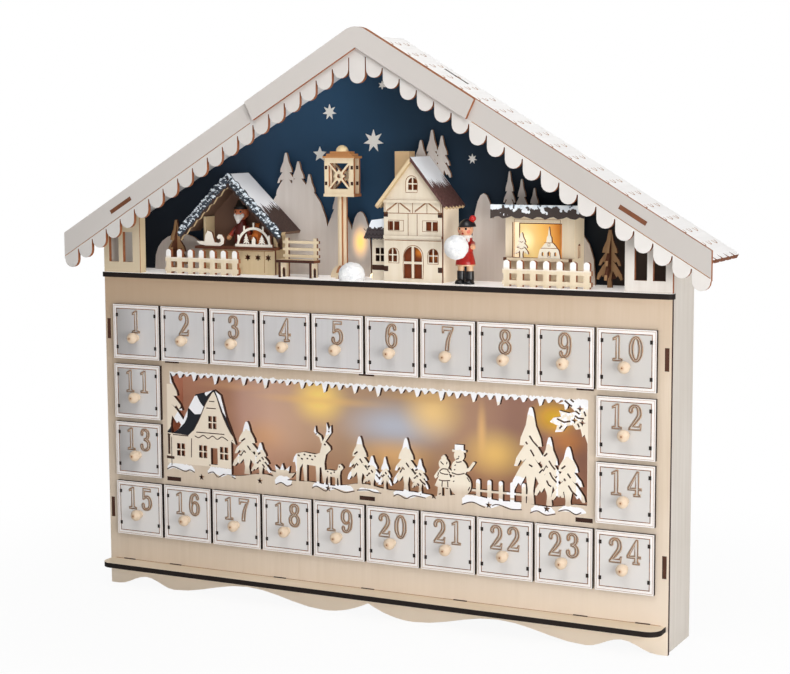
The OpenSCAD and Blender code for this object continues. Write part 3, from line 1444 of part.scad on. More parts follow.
module shop_stall() {
    left = shop_x - shop_w / 2;
    back = hill_depth - fit;
    counter_z = stage_z + shop_h * 0.4;
    roof_z0 = stage_z + shop_h;
    color("Wheat") {
        upright(shop_depth, thin_ply) shop_front();
        for (x = [left, left + shop_w - thin_ply]) endways(x, thin_ply) difference() {
            bar(shop_depth + thin_ply, stage_z, back - shop_depth - thin_ply, shop_h);
            arched((shop_depth + back) / 2, counter_z, thin_ply * 2.4, shop_h * 0.2);
        }
        upright(back - thin_ply, thin_ply) bar(left + thin_ply, stage_z, shop_w - 2 * thin_ply,
            shop_h);
        flat(counter_z - thin_ply, thin_ply) middle_bar(shop_x, shop_depth - 2 * thin_ply,
            shop_w, 2 * thin_ply);
        upright(shop_depth - 1.5 * thin_ply, thin_ply) {
            fir(shop_x - shop_w * 0.24, counter_z, shop_w * 0.2, shop_h * 0.36);
            translate([shop_x + shop_w * 0.16, counter_z]) difference() {
                polygon(scaled(church_shares, church_w, church_h));
                for (side = [-1, 0, 1]) arched(side * church_w * 0.28, church_h * 0.08,
                    church_w * 0.09, church_h * 0.12);
            }
        }
    }
    color(burnt_color) {
        flat(roof_z0, thin_ply) middle_bar(shop_x, shop_depth - 2 * thin_ply, shop_roof_w,
            back - shop_depth + 2 * thin_ply);
        upright(shop_depth - 3 * thin_ply, thin_ply) translate([shop_x,
            roof_z0 - shop_h * 0.06]) valance(shop_roof_w);
    }
}

drawer(1);  // drawer_01
drawer(2);  // drawer_02
drawer(3);  // drawer_03
drawer(4);  // drawer_04
drawer(5);  // drawer_05
drawer(6);  // drawer_06
drawer(7);  // drawer_07
drawer(8);  // drawer_08
drawer(9);  // drawer_09
drawer(10);  // drawer_10
drawer(11);  // drawer_11
drawer(12);  // drawer_12
drawer(13);  // drawer_13
drawer(14);  // drawer_14
drawer(15);  // drawer_15
drawer(16);  // drawer_16
drawer(17);  // drawer_17
drawer(18);  // drawer_18
drawer(19);  // drawer_19
drawer(20);  // drawer_20
drawer(21);  // drawer_21
drawer(22);  // drawer_22
drawer(23);  // drawer_23
drawer(24);  // drawer_24
front_panel();
side_left();
side_right();
back_panel();
base_board();
drawer_shelves();
drawer_dividers();
front_ledge();
stage_floor();
picture_sheet();
lamps();
lamp_lead();
battery_box();
battery_cells();
battery_cover();
power_switch();
roof_left();
roof_right();
fascia_left();
fascia_right();
gable_chevron();
gable_panes();
sky_panel();
hill_panel();
picket_fences();
crossed_firs();
stall_walls();
stall_roof();
stall_keeper();
park_bench();
lantern_post();
cottage_walls();
cottage_roof();
child_figure();
snow_heaps();
shop_stall();
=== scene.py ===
import math
import random

import bmesh
import bpy
from mathutils import Matrix, Vector, noise


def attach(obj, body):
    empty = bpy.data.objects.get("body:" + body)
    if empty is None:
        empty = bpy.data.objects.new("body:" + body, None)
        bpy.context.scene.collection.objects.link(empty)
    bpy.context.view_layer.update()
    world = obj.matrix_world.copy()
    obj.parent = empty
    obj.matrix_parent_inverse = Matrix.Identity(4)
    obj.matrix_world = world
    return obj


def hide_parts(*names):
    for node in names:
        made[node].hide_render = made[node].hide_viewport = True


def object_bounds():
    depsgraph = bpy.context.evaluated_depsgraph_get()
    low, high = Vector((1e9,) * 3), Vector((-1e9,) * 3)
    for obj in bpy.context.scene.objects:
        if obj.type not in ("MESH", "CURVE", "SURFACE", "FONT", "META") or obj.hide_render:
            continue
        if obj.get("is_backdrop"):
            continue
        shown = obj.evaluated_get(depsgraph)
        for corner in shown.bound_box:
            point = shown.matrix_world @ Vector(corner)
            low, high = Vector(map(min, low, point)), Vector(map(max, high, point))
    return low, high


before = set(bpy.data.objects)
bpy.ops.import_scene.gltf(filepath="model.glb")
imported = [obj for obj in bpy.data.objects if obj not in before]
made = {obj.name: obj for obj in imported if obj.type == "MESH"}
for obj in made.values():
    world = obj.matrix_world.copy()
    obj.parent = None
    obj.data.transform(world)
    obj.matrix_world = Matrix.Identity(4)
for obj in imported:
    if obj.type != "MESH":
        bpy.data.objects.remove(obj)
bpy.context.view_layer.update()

# Camera. It stands in front and to the right of the calendar, a little above the stage, and looks
# down slightly. A long lens keeps the gable nearly free of perspective.
yaw, pitch, roll = 0.4672, 0.1184, 0.0047
stand = (0.56338, -1.09389, 0.34055)
film_width, focal_pixels, picture_pixels = 36, 1776.8, 790
ahead = Vector((-math.sin(yaw) * math.cos(pitch), math.cos(yaw) * math.cos(pitch),
                -math.sin(pitch)))
level = Vector((math.cos(yaw), math.sin(yaw), 0))
below = ahead.cross(level)
right = math.cos(roll) * level + math.sin(roll) * below
down = math.cos(roll) * below - math.sin(roll) * level
camera = bpy.data.objects.new("camera", bpy.data.cameras.new("camera"))
camera.matrix_world = Matrix((
    (right.x, -down.x, -ahead.x, stand[0]), (right.y, -down.y, -ahead.y, stand[1]),
    (right.z, -down.z, -ahead.z, stand[2]), (0, 0, 0, 1)))
camera.data.sensor_width = film_width
camera.data.lens = film_width * focal_pixels / picture_pixels
camera.data.clip_start, camera.data.clip_end = 0.02, 60
bpy.context.scene.collection.objects.link(camera)
bpy.context.scene.camera = camera

# Floor and light. A pale floor carries the soft shadow of the case and runs out to white. A soft
# lamp stands low at the right, two light the stage from above, one each the skirt, roof and back.
bpy.context.scene.view_settings.view_transform = "Standard"


def put(tree, kind, settings=None, inputs=None):
    made_node = tree.nodes.new("ShaderNode" + kind)
    for key, value in (settings or {}).items():
        setattr(made_node, key, value)
    for key, value in (inputs or {}).items():
        value = getattr(value, "socket", value)
        if isinstance(value, bpy.types.NodeSocket):
            tree.links.new(value, made_node.inputs[key])
        elif value is not None:
            made_node.inputs[key].default_value = value
    return made_node


def blank(name):
    material = bpy.data.materials.new(name)
    material.use_nodes = True
    material.node_tree.nodes.clear()
    return material, material.node_tree, put(material.node_tree, "TexCoord")


world = bpy.data.worlds.new("room")
bpy.context.scene.world = world
world.use_nodes = True
room = world.node_tree
room.nodes.clear()
rays = put(room, "LightPath")
seen = put(room, "Math", {"operation": "MAXIMUM"}, {0: rays.outputs["Is Camera Ray"],
                                                    1: rays.outputs["Is Transmission Ray"]})
dim = put(room, "Background", None, {"Color": (0.93, 0.96, 1, 1), "Strength": 0.26})
white = put(room, "Background", None, {"Color": (1, 1, 1, 1), "Strength": 1})
both = put(room, "MixShader", None, {0: seen.outputs[0], 1: dim.outputs[0], 2: white.outputs[0]})
put(room, "OutputWorld", None, {"Surface": both.outputs[0]})

form = bmesh.new()
bmesh.ops.create_grid(form, x_segments=1, y_segments=1, size=3)
floor = bpy.data.objects.new("floor", bpy.data.meshes.new("floor"))
form.to_mesh(floor.data)
form.free()
bpy.context.scene.collection.objects.link(floor)
floor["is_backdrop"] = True
pale, tree, place = blank("pale_floor")
far = put(tree, "VectorMath", {"operation": "LENGTH"}, {0: place.outputs["Object"]})
fade = put(tree, "MapRange", {"interpolation_type": "SMOOTHSTEP"},
           {0: far.outputs["Value"], 1: 0.2, 2: 0.5, 3: 0.93})
rays = put(tree, "LightPath")
shown = put(tree, "Math", {"operation": "MULTIPLY"}, {0: fade.outputs[0],
                                                      1: rays.outputs["Is Camera Ray"]})
cloth = put(tree, "BsdfDiffuse", None, {"Color": (0.86, 0.86, 0.85, 1)})
glow = put(tree, "Emission", None, {"Color": (1, 1, 1, 1), "Strength": 1})
both = put(tree, "MixShader", None, {0: shown.outputs[0], 1: cloth.outputs[0], 2: glow.outputs[0]})
put(tree, "OutputMaterial", None, {"Surface": both.outputs[0]})
floor.data.materials.append(pale)

aim = Vector((0, 0, 0.2))
for name, spot, size, power, colour in (
        ("key_lamp", (0.85, -0.52, 0.1), 0.7, 9.2, (1, 0.99, 0.98)),
        ("stage_lamp", (0.1, -0.32, 0.72), 0.4, 1.3, (1, 0.99, 0.975)),
        ("high_lamp", (0.35, -0.8, 1.1), 0.6, 2, (1, 0.99, 0.98)),
        ("low_lamp", (0.05, -0.55, 0.02), 0.4, 0.8, (1, 0.99, 0.98)),
        ("top_lamp", (0.5, 0.3, 1.45), 1.2, 4.2, (1, 1, 1)),
        ("back_lamp", (-0.55, 1.1, 0.3), 0.8, 7, (1, 0.99, 0.98))):
    lamp = bpy.data.objects.new(name, bpy.data.lights.new(name, "AREA"))
    lamp.data.size, lamp.data.energy, lamp.data.color = size, power, colour
    lamp.location = spot
    lamp.rotation_euler = (aim - Vector(spot)).to_track_quat("-Z", "Y").to_euler()
    bpy.context.scene.collection.objects.link(lamp)

# Case of birch plywood. A back panel, a base board, shelves and upright dividers, slotted together
# with tenons behind the front panel. The laser has burnt every cut edge dark brown, and the faces
# are bare sanded veneer with upright grain.


def linear(code):
    parts = [int(code[i:i + 2], 16) / 255 for i in (1, 3, 5)]
    return [c / 12.92 if c < 0.04045 else ((c + 0.055) / 1.055) ** 2.4 for c in parts] + [1]


def blend(tree, amount, one, two):
    one, two = [linear(c) if isinstance(c, str) else c for c in (one, two)]
    return put(tree, "Mix", {"data_type": "RGBA"}, {0: amount, 6: one, 7: two}).outputs[2]


def reckon(operation, swap=False):
    def result(self, other=0.0):
        pair = (other, self) if swap else (self, other)
        return Field(self.node("Math", {"operation": operation}, dict(enumerate(pair))).outputs[0])
    return result


# A value that changes over a material and is reckoned with like a number. A comparison gives a
# mask, which is one where it holds and nought elsewhere, and | takes the larger of two values.
class Field:
    __add__, __radd__ = reckon("ADD"), reckon("ADD", True)
    __sub__, __rsub__ = reckon("SUBTRACT"), reckon("SUBTRACT", True)
    __mul__, __rmul__ = reckon("MULTIPLY"), reckon("MULTIPLY", True)
    __or__, __ror__ = reckon("MAXIMUM"), reckon("MAXIMUM", True)
    __truediv__, __abs__ = reckon("DIVIDE"), reckon("ABSOLUTE")
    __lt__, __gt__ = reckon("LESS_THAN"), reckon("GREATER_THAN")
    fraction, root = reckon("FRACT"), reckon("SQRT")

    def __init__(self, socket):
        self.socket = socket

    def node(self, *parts):
        return put(self.socket.id_data, *parts)

    def fade(self, start, end, most=1):
        return Field(self.node("MapRange", None, {0: self, 1: start, 2: end, 4: most}).outputs[0])


def speckle(place, scale, detail, roughness=None, distortion=None):
    return Field(put(place.id_data, "TexNoise", None, {
        "Vector": place, "Scale": scale, "Detail": detail, "Roughness": roughness,
        "Distortion": distortion}).outputs["Fac"])


def relief(tree, height, strength, distance):
    return put(tree, "Bump", None, {"Height": height, "Strength": strength,
                                    "Distance": distance}).outputs[0]


def surface(tree, inputs):
    skin = put(tree, "BsdfPrincipled", None, inputs)
    put(tree, "OutputMaterial", None, {"Surface": skin.outputs[0]})


# Sanded veneer where a surface looks along the broad axis, and burnt wood on all other faces.
def plywood(name, face, streak, edge, broad=(0, 1, 0), grain=(1, 1, 0.05), fine=260, gloss=0.7,
            blotch=0.45, contrast=0.6):
    material, tree, place = blank(name)
    spread = put(tree, "Mapping", None, {"Vector": place.outputs["Object"], "Scale": grain})
    fibre = speckle(spread.outputs[0], fine, 5, 0.62, 0.25)
    cloud = speckle(place.outputs["Object"], 17, 2, 0.5)
    veneer = blend(tree, fibre.fade(0.36, 0.72, contrast), face, streak)
    veneer = blend(tree, cloud.fade(0.4, 0.75, blotch), veneer, streak)
    turned = put(tree, "VectorMath", {"operation": "ABSOLUTE"}, {0: place.outputs["Normal"]})
    aligned = put(tree, "VectorMath", {"operation": "DOT_PRODUCT"}, {0: turned.outputs[0],
                                                                     1: broad})
    flat = Field(aligned.outputs["Value"]) > 0.9
    flat.socket.node.name = "flat"
    ash = [c * 2.3 for c in linear(edge)[:3]] + [1]
    burnt = blend(tree, speckle(place.outputs["Object"], 260, 3), edge, ash)
    surface(tree, {"Base Color": blend(tree, flat, burnt, veneer), "Roughness": gloss,
                   "Normal": relief(tree, fibre, 0.12, 0.0004), "Specular IOR Level": 0.3})
    return material


def dress(material, *nodes):
    for mesh in [made[node].data for node in nodes]:
        mesh.materials.clear()
        mesh.materials.append(material)
        mesh.polygons.foreach_set("material_index", [0] * len(mesh.polygons))


def within(value, low, high):
    return (value > low) * (value < high)


def part(material, kind):
    return next(n for n in material.node_tree.nodes if n.type == kind)


# Opens a material for painting. It gives the place on it in millimetres and a brush, which lays a
# colour over what is there wherever a mask is one, on the flat faces or on the edges too.
def painter(material):
    tree = material.node_tree
    in_mm = put(tree, "VectorMath", {"operation": "SCALE"}, {
        0: part(material, "TEX_COORD").outputs["Object"], "Scale": 1000})
    spot = put(tree, "SeparateXYZ", None, {0: in_mm.outputs[0]})
    paint = part(material, "BSDF_PRINCIPLED").inputs["Base Color"]

    def brush(mask, colour, edges=False):
        if not edges:
            mask = mask * Field(tree.nodes["flat"].outputs[0])
        tree.links.new(blend(tree, mask, paint.links[0].from_socket, colour), paint)

    return [Field(socket) for socket in spot.outputs], brush


dress(plywood("birch_plywood", "#dccab6", "#ccb69c", "#2b160e"), "back_panel")
birch_flat = plywood("birch_plywood_flat", "#ddd0bb", "#cfbc9f", "#2b160e", (0, 0, 1),
                     (0.05, 1, 1))
dress(birch_flat, "base_board", "drawer_shelves")
birch_side = plywood("birch_plywood_upright", "#d9c7ab", "#cbb596", "#4a2c1c", (1, 0, 0),
                     (1, 0.05, 1))
(x, y, z), brush = painter(birch_side)
brush(within(abs(x), 165.3, 165.7) * within(z, 84, 170), "#cc9279")
dress(birch_side, "drawer_dividers")

# Painted front panel, 436 by 231 by 3 mm, cut by laser from one sheet. The fretwork window, 324 by
# 76.5 mm, has white lacquer on its icicles, on the snow drifts, on the tips of the firs and on the
# chalet, whose roof is black. Drifts and roof follow broken lines of X and Z in millimetres.


# The height, in millimetres, of a broken line of X and Z over a material's X.
def trace(across, points):
    low, high = min(p[1] for p in points), max(p[1] for p in points)
    start, end = points[0][0], points[-1][0]
    curve = across.node("FloatCurve", None, {"Value": across.fade(start, end)})
    line = curve.mapping.curves[0]
    while len(line.points) < len(points):
        line.points.new(0.5, 0.5)
    for spot, p in zip(line.points, points):
        spot.location = ((p[0] - start) / (end - start), (p[1] - low) / (high - low))
        spot.handle_type = "VECTOR"
    curve.mapping.update()
    return Field(across.node("MapRange", None, {0: curve.outputs[0], 3: low, 4: high}).outputs[0])


# Soft random spots over the place that is given by two or three values.
def mottle(spot, scale, detail, roughness=None):
    where = spot[0].node("CombineXYZ", None, dict(enumerate(spot)))
    return speckle(where.outputs[0], scale, detail, roughness)


window_edge, lacquer_white = 162.2, "#f1f0f2"
window_firs = ((-97, 94, 131, 12, 13), (-85, 94, 117, 8, 8), (-6, 93, 128, 11, 11),
               (3, 93, 114, 6, 7), (14, 94, 112, 5, 5), (30, 93, 128, 11, 11),
               (40, 95, 114, 8, 8), (121, 115, 157, 16, 12), (135, 103, 138, 9, 9),
               (148, 95, 131, 10, 11))
front_paint = plywood("front_plywood", "#d8c7b4", "#c8b59e", "#2b160e")
(x, y, z), brush = painter(front_paint)
# Painted light and shade: the panel is painted lighter towards the bottom right and darker towards
# the top left, and lighter on the skirt below the ledge.
painted_light_slope = z * 0.008 + x * -0.0012
brush(painted_light_slope.fade(0.6, -0.1, 0.8), "#e6d7c6")
brush(painted_light_slope.fade(1.15, 2, 0.85), "#b3987c")
brush((z < 15.8) * 0.85, "#eddfcd")
rough = mottle((x, None, z), 0.42, 2)
wave = (rough - 0.5) * 5
shaken = z + wave
inside = abs(x) < window_edge
brush(within(shaken, 154.5, 163.4) * inside * (z < 164.6), "#ebeaec")
lower_line, upper_line = [], []
for start, end, heights, top in (
        (-166, -142, (90, 92, 90.5, 91, 90), 95.5), (-131, -107, (90, 91, 88.5, 91, 88), 95.5),
        (-74, -60, (87.5, 88.5, 87, 88.5), 94),
        (-44, -10, (87.5, 88.5, 86.5, 88.5, 87, 88.5), 92), (-8, 11, (88, 89, 88.5), 91),
        (20, 57, (87.5, 88.5, 86.5, 88.5, 88, 91.5, 92), 92.5),
        (72, 116, (86.5, 88.5, 87, 85.5, 88.5, 86.5, 86.5), 93),
        (122, 140, (85, 86.5, 85, 86.5), 90.5), (142, 162, (88, 88.5, 87, 88.5), 92)):
    step = (end - start) / (len(heights) - 1)
    lower_line += [(start - 0.6, 99)] + [(start + step * i, h) for i, h in enumerate(heights)]
    lower_line += [(end + 0.6, 99)]
    upper_line += [(start - 0.6, top - 4), (start + 3, top), (end - 3, top - 0.5),
                   (end + 0.6, top - 4)]
drift = (z > trace(x, lower_line)) * (z + wave * 0.5 < trace(x, upper_line))
brush(within(x, -105, window_edge) * (z.fade(94, 100, 0.8) * (z < 158)), "#f0e6d4")
brush(drift, lacquer_white)
snow = within(x, -163, -151.5) * (x + wave > -159)
core = 0.0
for trunk, foot, top, half, inked in window_firs:
    aside = abs(x - trunk)
    cap = shaken + aside * 0.5 > top - 6
    tip = aside + wave > half * 0.6
    branches = (aside < half) * (z < top + 4)
    snow = snow | (cap | tip) * branches
    core = core | branches * ((1 - cap) * (1 - tip))
snow = snow * (1 - core)
for start, end, foot, top in ((80, 118, 101.6, 108.5), (-45, -24, 126, 160), (63, 77, 123.2, 160),
                              (49.5, 56, 117.5, 160), (-77, -56, 98.5, 160)):
    snow = snow | within(x, start, end) * within(shaken, foot, top)
bough = 143.5 + ((x - 150) | 0) * 1.1
snow = snow | (wave + z > bough) * (within(x, 137, 163) * (rough > 0.5))
brush(snow * inside * within(z, 94, 160), lacquer_white)
brush(within(x, -165, -105) * within(z, 95.5, 154), "#e7d9c6")
roof_line = trace(x, [(-166, 118), (-147, 117), (-142.5, 121), (-137.5, 130), (-132, 141.5),
                      (-127, 149), (-124.5, 150.5), (-122.5, 147), (-118.5, 136), (-114, 127),
                      (-109.5, 119.5), (-107, 117), (-104, 117)])
roof_edge = trace(x, [(-166, 118), (-163, 121), (-158, 131), (-151, 141), (-147, 147),
                      (-139, 149.5), (-136, 152.5), (-130, 153), (-124, 156), (-104, 156)])
chalet = within(x, -165, -104.5) * (z < roof_edge)
brush((z > roof_line) * chalet, "#191b22")
patch_low = trace(x, [(-159.5, 128), (-158.5, 120), (-156, 120.5), (-150, 126), (-147.5, 131),
                      (-147, 138), (-141, 133), (-136, 133.5), (-133.5, 138), (-132.6, 149),
                      (-131, 147), (-128, 149.5), (-124, 153), (-121, 146), (-117, 136),
                      (-113.5, 131.5), (-110, 122), (-107.4, 121.8), (-107, 160)])
patch_high = trace(x, [(-159.5, 131), (-157, 134), (-151, 137.5), (-147.5, 134.5), (-147, 141),
                       (-145, 145), (-139, 147), (-136.5, 142.5), (-133.5, 139), (-132, 149.4),
                       (-130, 151), (-125, 156), (-107, 156)])
brush(chalet * ((z > (patch_low | roof_line)) * (z < patch_high)), lacquer_white)
dress(front_paint, "front_panel")

# Side panels of the same plywood, 3 mm thick, whitewashed and joined to the front by tenons. They
# run down to the table as feet.
wash_side = plywood("whitewashed_side", "#d5cec6", "#c5bcb1", "#3a2116", (1, 0, 0))
dress(wash_side, "side_left", "side_right")

# Front ledge and stage floor: two boards of 3.6 mm that run over the side panels. Their tops are
# white and their front edges are burnt nearly black.
ledge_wood = plywood("ledge_plywood", "#ecddc8", "#dcc8ab", "#110906", (0, 0, 1), (0.05, 1, 1))
dress(ledge_wood, "front_ledge")
snow_wood = plywood("snow_board", "#f6f4f2", "#e9e6e3", "#110906", (0, 0, 1), (0.05, 1, 1))
dress(snow_wood, "stage_floor")

# Drawers. Each is a whitewashed front plate on a bare plywood box, with a ball knob of turned
# beech on a dowel. The laser has drawn the number as an outline, a fine line near the edge and a
# bolder one 3 mm in, and left the dark ends of the box's tenons showing at both sides.
drawer_rows = ((0.1711, range(1, 11)), (0.127, (11, 12)), (0.0838, (13, 14)),
               (0.0392, range(15, 25)))
drawer_pitch, plate, plate_face, box_face = 42, 40, -24, -20.99
fine_inset, frame_inset, tenon_out, tenon_heights = 0.9, 3, 16.6, (8.5, 32.3)
digit_half, digit_foot, digit_stretch, pair_start, digit_step = 4.5, 19.6, 1.06, 10.6, 12.4
numerals = {
    "0": [[(4.5, 15), (8, 11.6), (8.6, 7.5), (8, 3.4), (4.5, 0), (1, 3.4), (0.4, 7.5), (1, 11.6)],
          [(4.5, 14), (6.3, 11), (6.7, 7.5), (6.3, 4), (4.5, 1), (2.7, 4), (2.3, 7.5), (2.7, 11)]],
    "1": [[(1.5, 0, 1), (7.6, 0, 1), (7.6, 0.9, 1), (5.6, 1.4, 1), (5.6, 15, 1), (4.6, 15, 1),
           (1.6, 13.3, 1), (1.6, 12.5, 1), (3.6, 13.2, 1), (3.6, 1.4, 1), (1.5, 0.9, 1)]],
    "2": [[(0.6, 0, 1), (8, 0, 1), (8.6, 3.6, 1), (8, 3.6, 1), (7.3, 1.9, 1), (2.6, 1.9, 1),
           (5.8, 5.2), (8, 8.2), (8.2, 11.6), (6.9, 14.2), (4.4, 15), (1.9, 14.2), (0.7, 12.2),
           (0.9, 10.9), (1.8, 10.5), (2.5, 11.2), (2.5, 12.6), (4.3, 14.1), (5.8, 13.3),
           (6.4, 11.2), (6, 8.6), (3.8, 5.2), (0.6, 0.8, 1)]],
    "3": [[(0.9, 11.6), (1.4, 13.8), (4.2, 15), (7, 14), (7.9, 11.6), (7.2, 9.2), (5.8, 7.9, 1),
           (7.6, 6.8), (8.6, 4.2), (7.4, 1.2), (4.2, 0), (1.4, 1), (0.5, 3.2), (1, 4.3), (2, 4.2),
           (2.3, 3), (2.6, 1.5), (4, 0.9), (6, 1.8), (6.7, 4.2), (5.9, 6.5), (3.4, 7.4, 1),
           (3.4, 8.2, 1), (5.4, 8.9), (6.1, 11.4), (5.5, 13.4), (4, 14.1), (2.6, 13.4),
           (2.5, 12), (2, 10.9), (1.2, 10.8)]],
    "4": [[(4.2, 0, 1), (8.3, 0, 1), (8.3, 0.9, 1), (7.2, 1.3, 1), (7.2, 3.8, 1), (9, 3.8, 1),
           (9, 4.9, 1), (7.2, 4.9, 1), (7.2, 15, 1), (6.2, 15, 1), (0.3, 4.9, 1), (0.3, 3.8, 1),
           (5.3, 3.8, 1), (5.3, 1.3, 1), (4.2, 0.9, 1)],
          [(5.3, 4.9, 1), (5.3, 11.8, 1), (1.5, 4.9, 1)]],
    "5": [[(1.5, 15, 1), (7.9, 15, 1), (7.9, 13.2, 1), (2.7, 13.2, 1), (2.5, 9.1, 1), (4.6, 9.8),
           (7.4, 8.8), (8.7, 5), (7.4, 1.3), (4.2, 0), (1.4, 1), (0.5, 3.2), (1, 4.3), (2, 4.2),
           (2.3, 3), (2.6, 1.5), (4, 0.9), (6, 1.9), (6.8, 5), (6, 7.9), (4.2, 8.8), (2.6, 8),
           (1.7, 7.5, 1), (1.2, 7.7, 1)]],
    "6": [[(7.9, 12.4), (7.2, 14.2), (4.8, 15), (1.9, 13.4), (0.6, 9), (0.5, 5.6), (1.6, 1.6),
           (4.6, 0), (7.5, 1.3), (8.6, 4.8), (7.6, 8.2), (5, 9.4), (3, 8.6), (2.3, 7.8, 1),
           (2.6, 10.2), (3.4, 13), (4.9, 14.1), (6.2, 13.3), (6.3, 12.2), (7, 11.4), (7.8, 11.7)],
          [(4.6, 8.5), (6.3, 7.4), (6.7, 4.7), (6.2, 2), (4.6, 0.9), (3, 2), (2.5, 4.7),
           (2.9, 7.2)]],
    "7": [[(0.8, 15, 1), (8.6, 15, 1), (8.6, 14, 1), (6.3, 8.4), (5.1, 0, 1), (3.1, 0, 1),
           (4.2, 6.6), (7, 12.9, 1), (2.1, 12.9, 1), (1.5, 11.4, 1), (0.8, 11.4, 1)]],
    "8": [[(4.5, 15), (7.2, 14), (8, 11.6), (7.2, 9.2), (6.1, 8, 1), (7.8, 6.6), (8.6, 4.1),
           (7.5, 1.2), (4.5, 0), (1.5, 1.2), (0.4, 4.1), (1.2, 6.6), (2.9, 8, 1), (1.8, 9.2),
           (1, 11.6), (1.8, 14)],
          [(4.5, 14), (6, 12.8), (6.2, 11.2), (5.6, 9.4), (4.5, 8.6), (3.2, 9.6), (2.8, 11.2),
           (3, 12.8)],
          [(4.5, 7.2), (6.3, 6), (6.8, 4), (6, 1.8), (4.5, 0.9), (3, 1.8), (2.2, 4), (2.7, 6)]]}
numerals["9"] = [[(9 - p[0], 15 - p[1], *p[2:]) for p in loop] for loop in numerals["6"]]


def add_piece(name, mesh, material, body):
    piece = bpy.data.objects.new(name, mesh)
    mesh.materials.clear()
    mesh.materials.append(material)
    bpy.context.scene.collection.objects.link(piece)
    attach(piece, body)
    return piece


def finish(name, form, material, body="house", smooth=False):
    for face in form.faces:
        face.smooth = smooth
    mesh = bpy.data.meshes.new(name)
    form.to_mesh(mesh)
    form.free()
    return add_piece(name, mesh, material, body)


def block(form, middle, size):
    bmesh.ops.create_cube(form, size=1, matrix=Matrix.Translation(
        [c / 1000 for c in middle]) @ Matrix.Diagonal([s / 1000 for s in size] + [1]))


# A fine burnt line drawn on an upright face: each run is a list of X and Z in millimetres, with
# a third number where it turns a sharp corner, and a word that says whether it is closed.
def draw_lines(name, runs, y, width, material, body="house", turn=None, flat=0.3):
    line = bpy.data.curves.new(name, "CURVE")
    line.dimensions, line.bevel_depth, line.bevel_resolution = "3D", width / 2000, 0
    line.resolution_u, line.use_fill_caps = 3, True
    for points, ring in runs:
        spline = line.splines.new("BEZIER")
        spline.bezier_points.add(len(points) - 1)
        spline.use_cyclic_u = ring
        for spot, p in zip(spline.bezier_points, points):
            spot.co = (p[0] / 1000, y / 1000, p[1] / 1000)
            kind = "VECTOR" if len(p) > 2 else "AUTO"
            spot.handle_left_type = spot.handle_right_type = kind
    pencil = bpy.data.objects.new(name + "_path", line)
    bpy.context.scene.collection.objects.link(pencil)
    mesh = bpy.data.meshes.new_from_object(pencil.evaluated_get(
        bpy.context.evaluated_depsgraph_get()))
    bpy.data.objects.remove(pencil)
    mesh.transform(Matrix.Translation((0, y * (1 - flat) / 1000, 0)) @ Matrix.Diagonal(
        (1, flat, 1, 1)))
    if turn is not None:
        mesh.transform(turn)
    add_piece(name, mesh, material, body)


def stroke(*points):
    return [(x, z, 1) for x, z in points], False


def box_run(x, z, w, h):
    return stroke((x, z), (x + w, z), (x + w, z + h), (x, z + h))[0], True


def scorch(name, dark, light):
    material, tree, place = blank(name)
    uneven = speckle(place.outputs["Object"], 330, 2).fade(0.35, 0.68)
    surface(tree, {"Base Color": blend(tree, uneven, dark, light), "Roughness": 0.85})
    return material


# One row's fronts. The plate is paler near its rim. Behind it begins the box of bare plywood, and
# in front of it is the beech knob with the dark dot of its drilling.
def drawer_wood(name, middle):
    material = plywood(name, "#c7c5c6", "#b8b5b5", "#1c0f0a")
    tree = material.node_tree
    (x, y, z), brush = painter(material)
    # Painted light and shade: the plates turn a little warmer and darker towards the right and
    # lighter towards the bottom, and the upper plates of the left column darker at their left edge.
    brush(x.fade(-20, 120), "#c6c2be")
    brush((x + z * 4.72).fade(1033, 90), "#dcd9d7")
    brush((z > 80) * x.fade(-184, -210), "#9c9896")
    across = abs((x / drawer_pitch + 10).fraction() - 0.5) * drawer_pitch
    brush((across | abs(z - middle)) > 17.3, "#e9e4e1")
    fibre = mottle((x, y * 0.12, z), 0.5, 4)
    brush(y > box_face, blend(tree, fibre, "#d9c3a0", "#c2a67e"), True)
    lift = z - middle + 4
    reach = (across * across + lift * lift).root()
    beech = blend(tree, fibre, "#e2d0bb", "#d2ba9e")
    beech = blend(tree, reach.fade(1.9, 0.9, 0.5), beech, "#b98758")
    beech = blend(tree, reach < 0.55, beech, "#7a4c2c")
    brush(y < plate_face - 0.05, beech, True)
    return material


brown_line = scorch("burnt_line", "#5a351c", "#a06c3e")
heat_line = scorch("heated_lacquer", "#c6b7a8", "#b7a794")
dark_line = scorch("burnt_tenon", "#120b08", "#2b1a12")
fine_line = scorch("fine_line", "#95643f", "#b5875c")
for foot, numbers in drawer_rows:
    front_wood = drawer_wood("drawer_front_%d" % numbers[0], foot * 1000 + plate / 2)
    for place_in_row, number in enumerate(numbers):
        node, digits = "drawer_%02d" % number, str(number)
        dress(front_wood, node)
        column = place_in_row if len(numbers) > 2 else 9 * place_in_row
        x, z = (column - 4.5) * drawer_pitch, foot * 1000
        rim, frame_run = [box_run(x - plate / 2 + inset, z + inset, plate - 2 * inset,
                                  plate - 2 * inset) for inset in (fine_inset, frame_inset)]
        draw_lines(node + "_rim", [rim], plate_face, 0.35, fine_line, node)
        runs = [frame_run]
        for place_in_number, digit in enumerate(digits):
            start = x - (digit_half if len(digits) == 1 else pair_start - digit_step
                         * place_in_number)
            runs += [([(start + p[0], z + digit_foot + p[1] * digit_stretch, *p[2:])
                       for p in loop], True) for loop in numerals[digit]]
        draw_lines(node + "_number", runs, plate_face, 0.8, brown_line, node)
        draw_lines(node + "_heat", runs[1:], plate_face, 1.8, heat_line, node, flat=0.06)
        form = bmesh.new()
        for side in (-1, 1):
            for height in tenon_heights:
                block(form, (x + side * tenon_out, plate_face, z + height), (1.9, 0.3, 2.6))
        finish(node + "_tenons", form, dark_line, node)

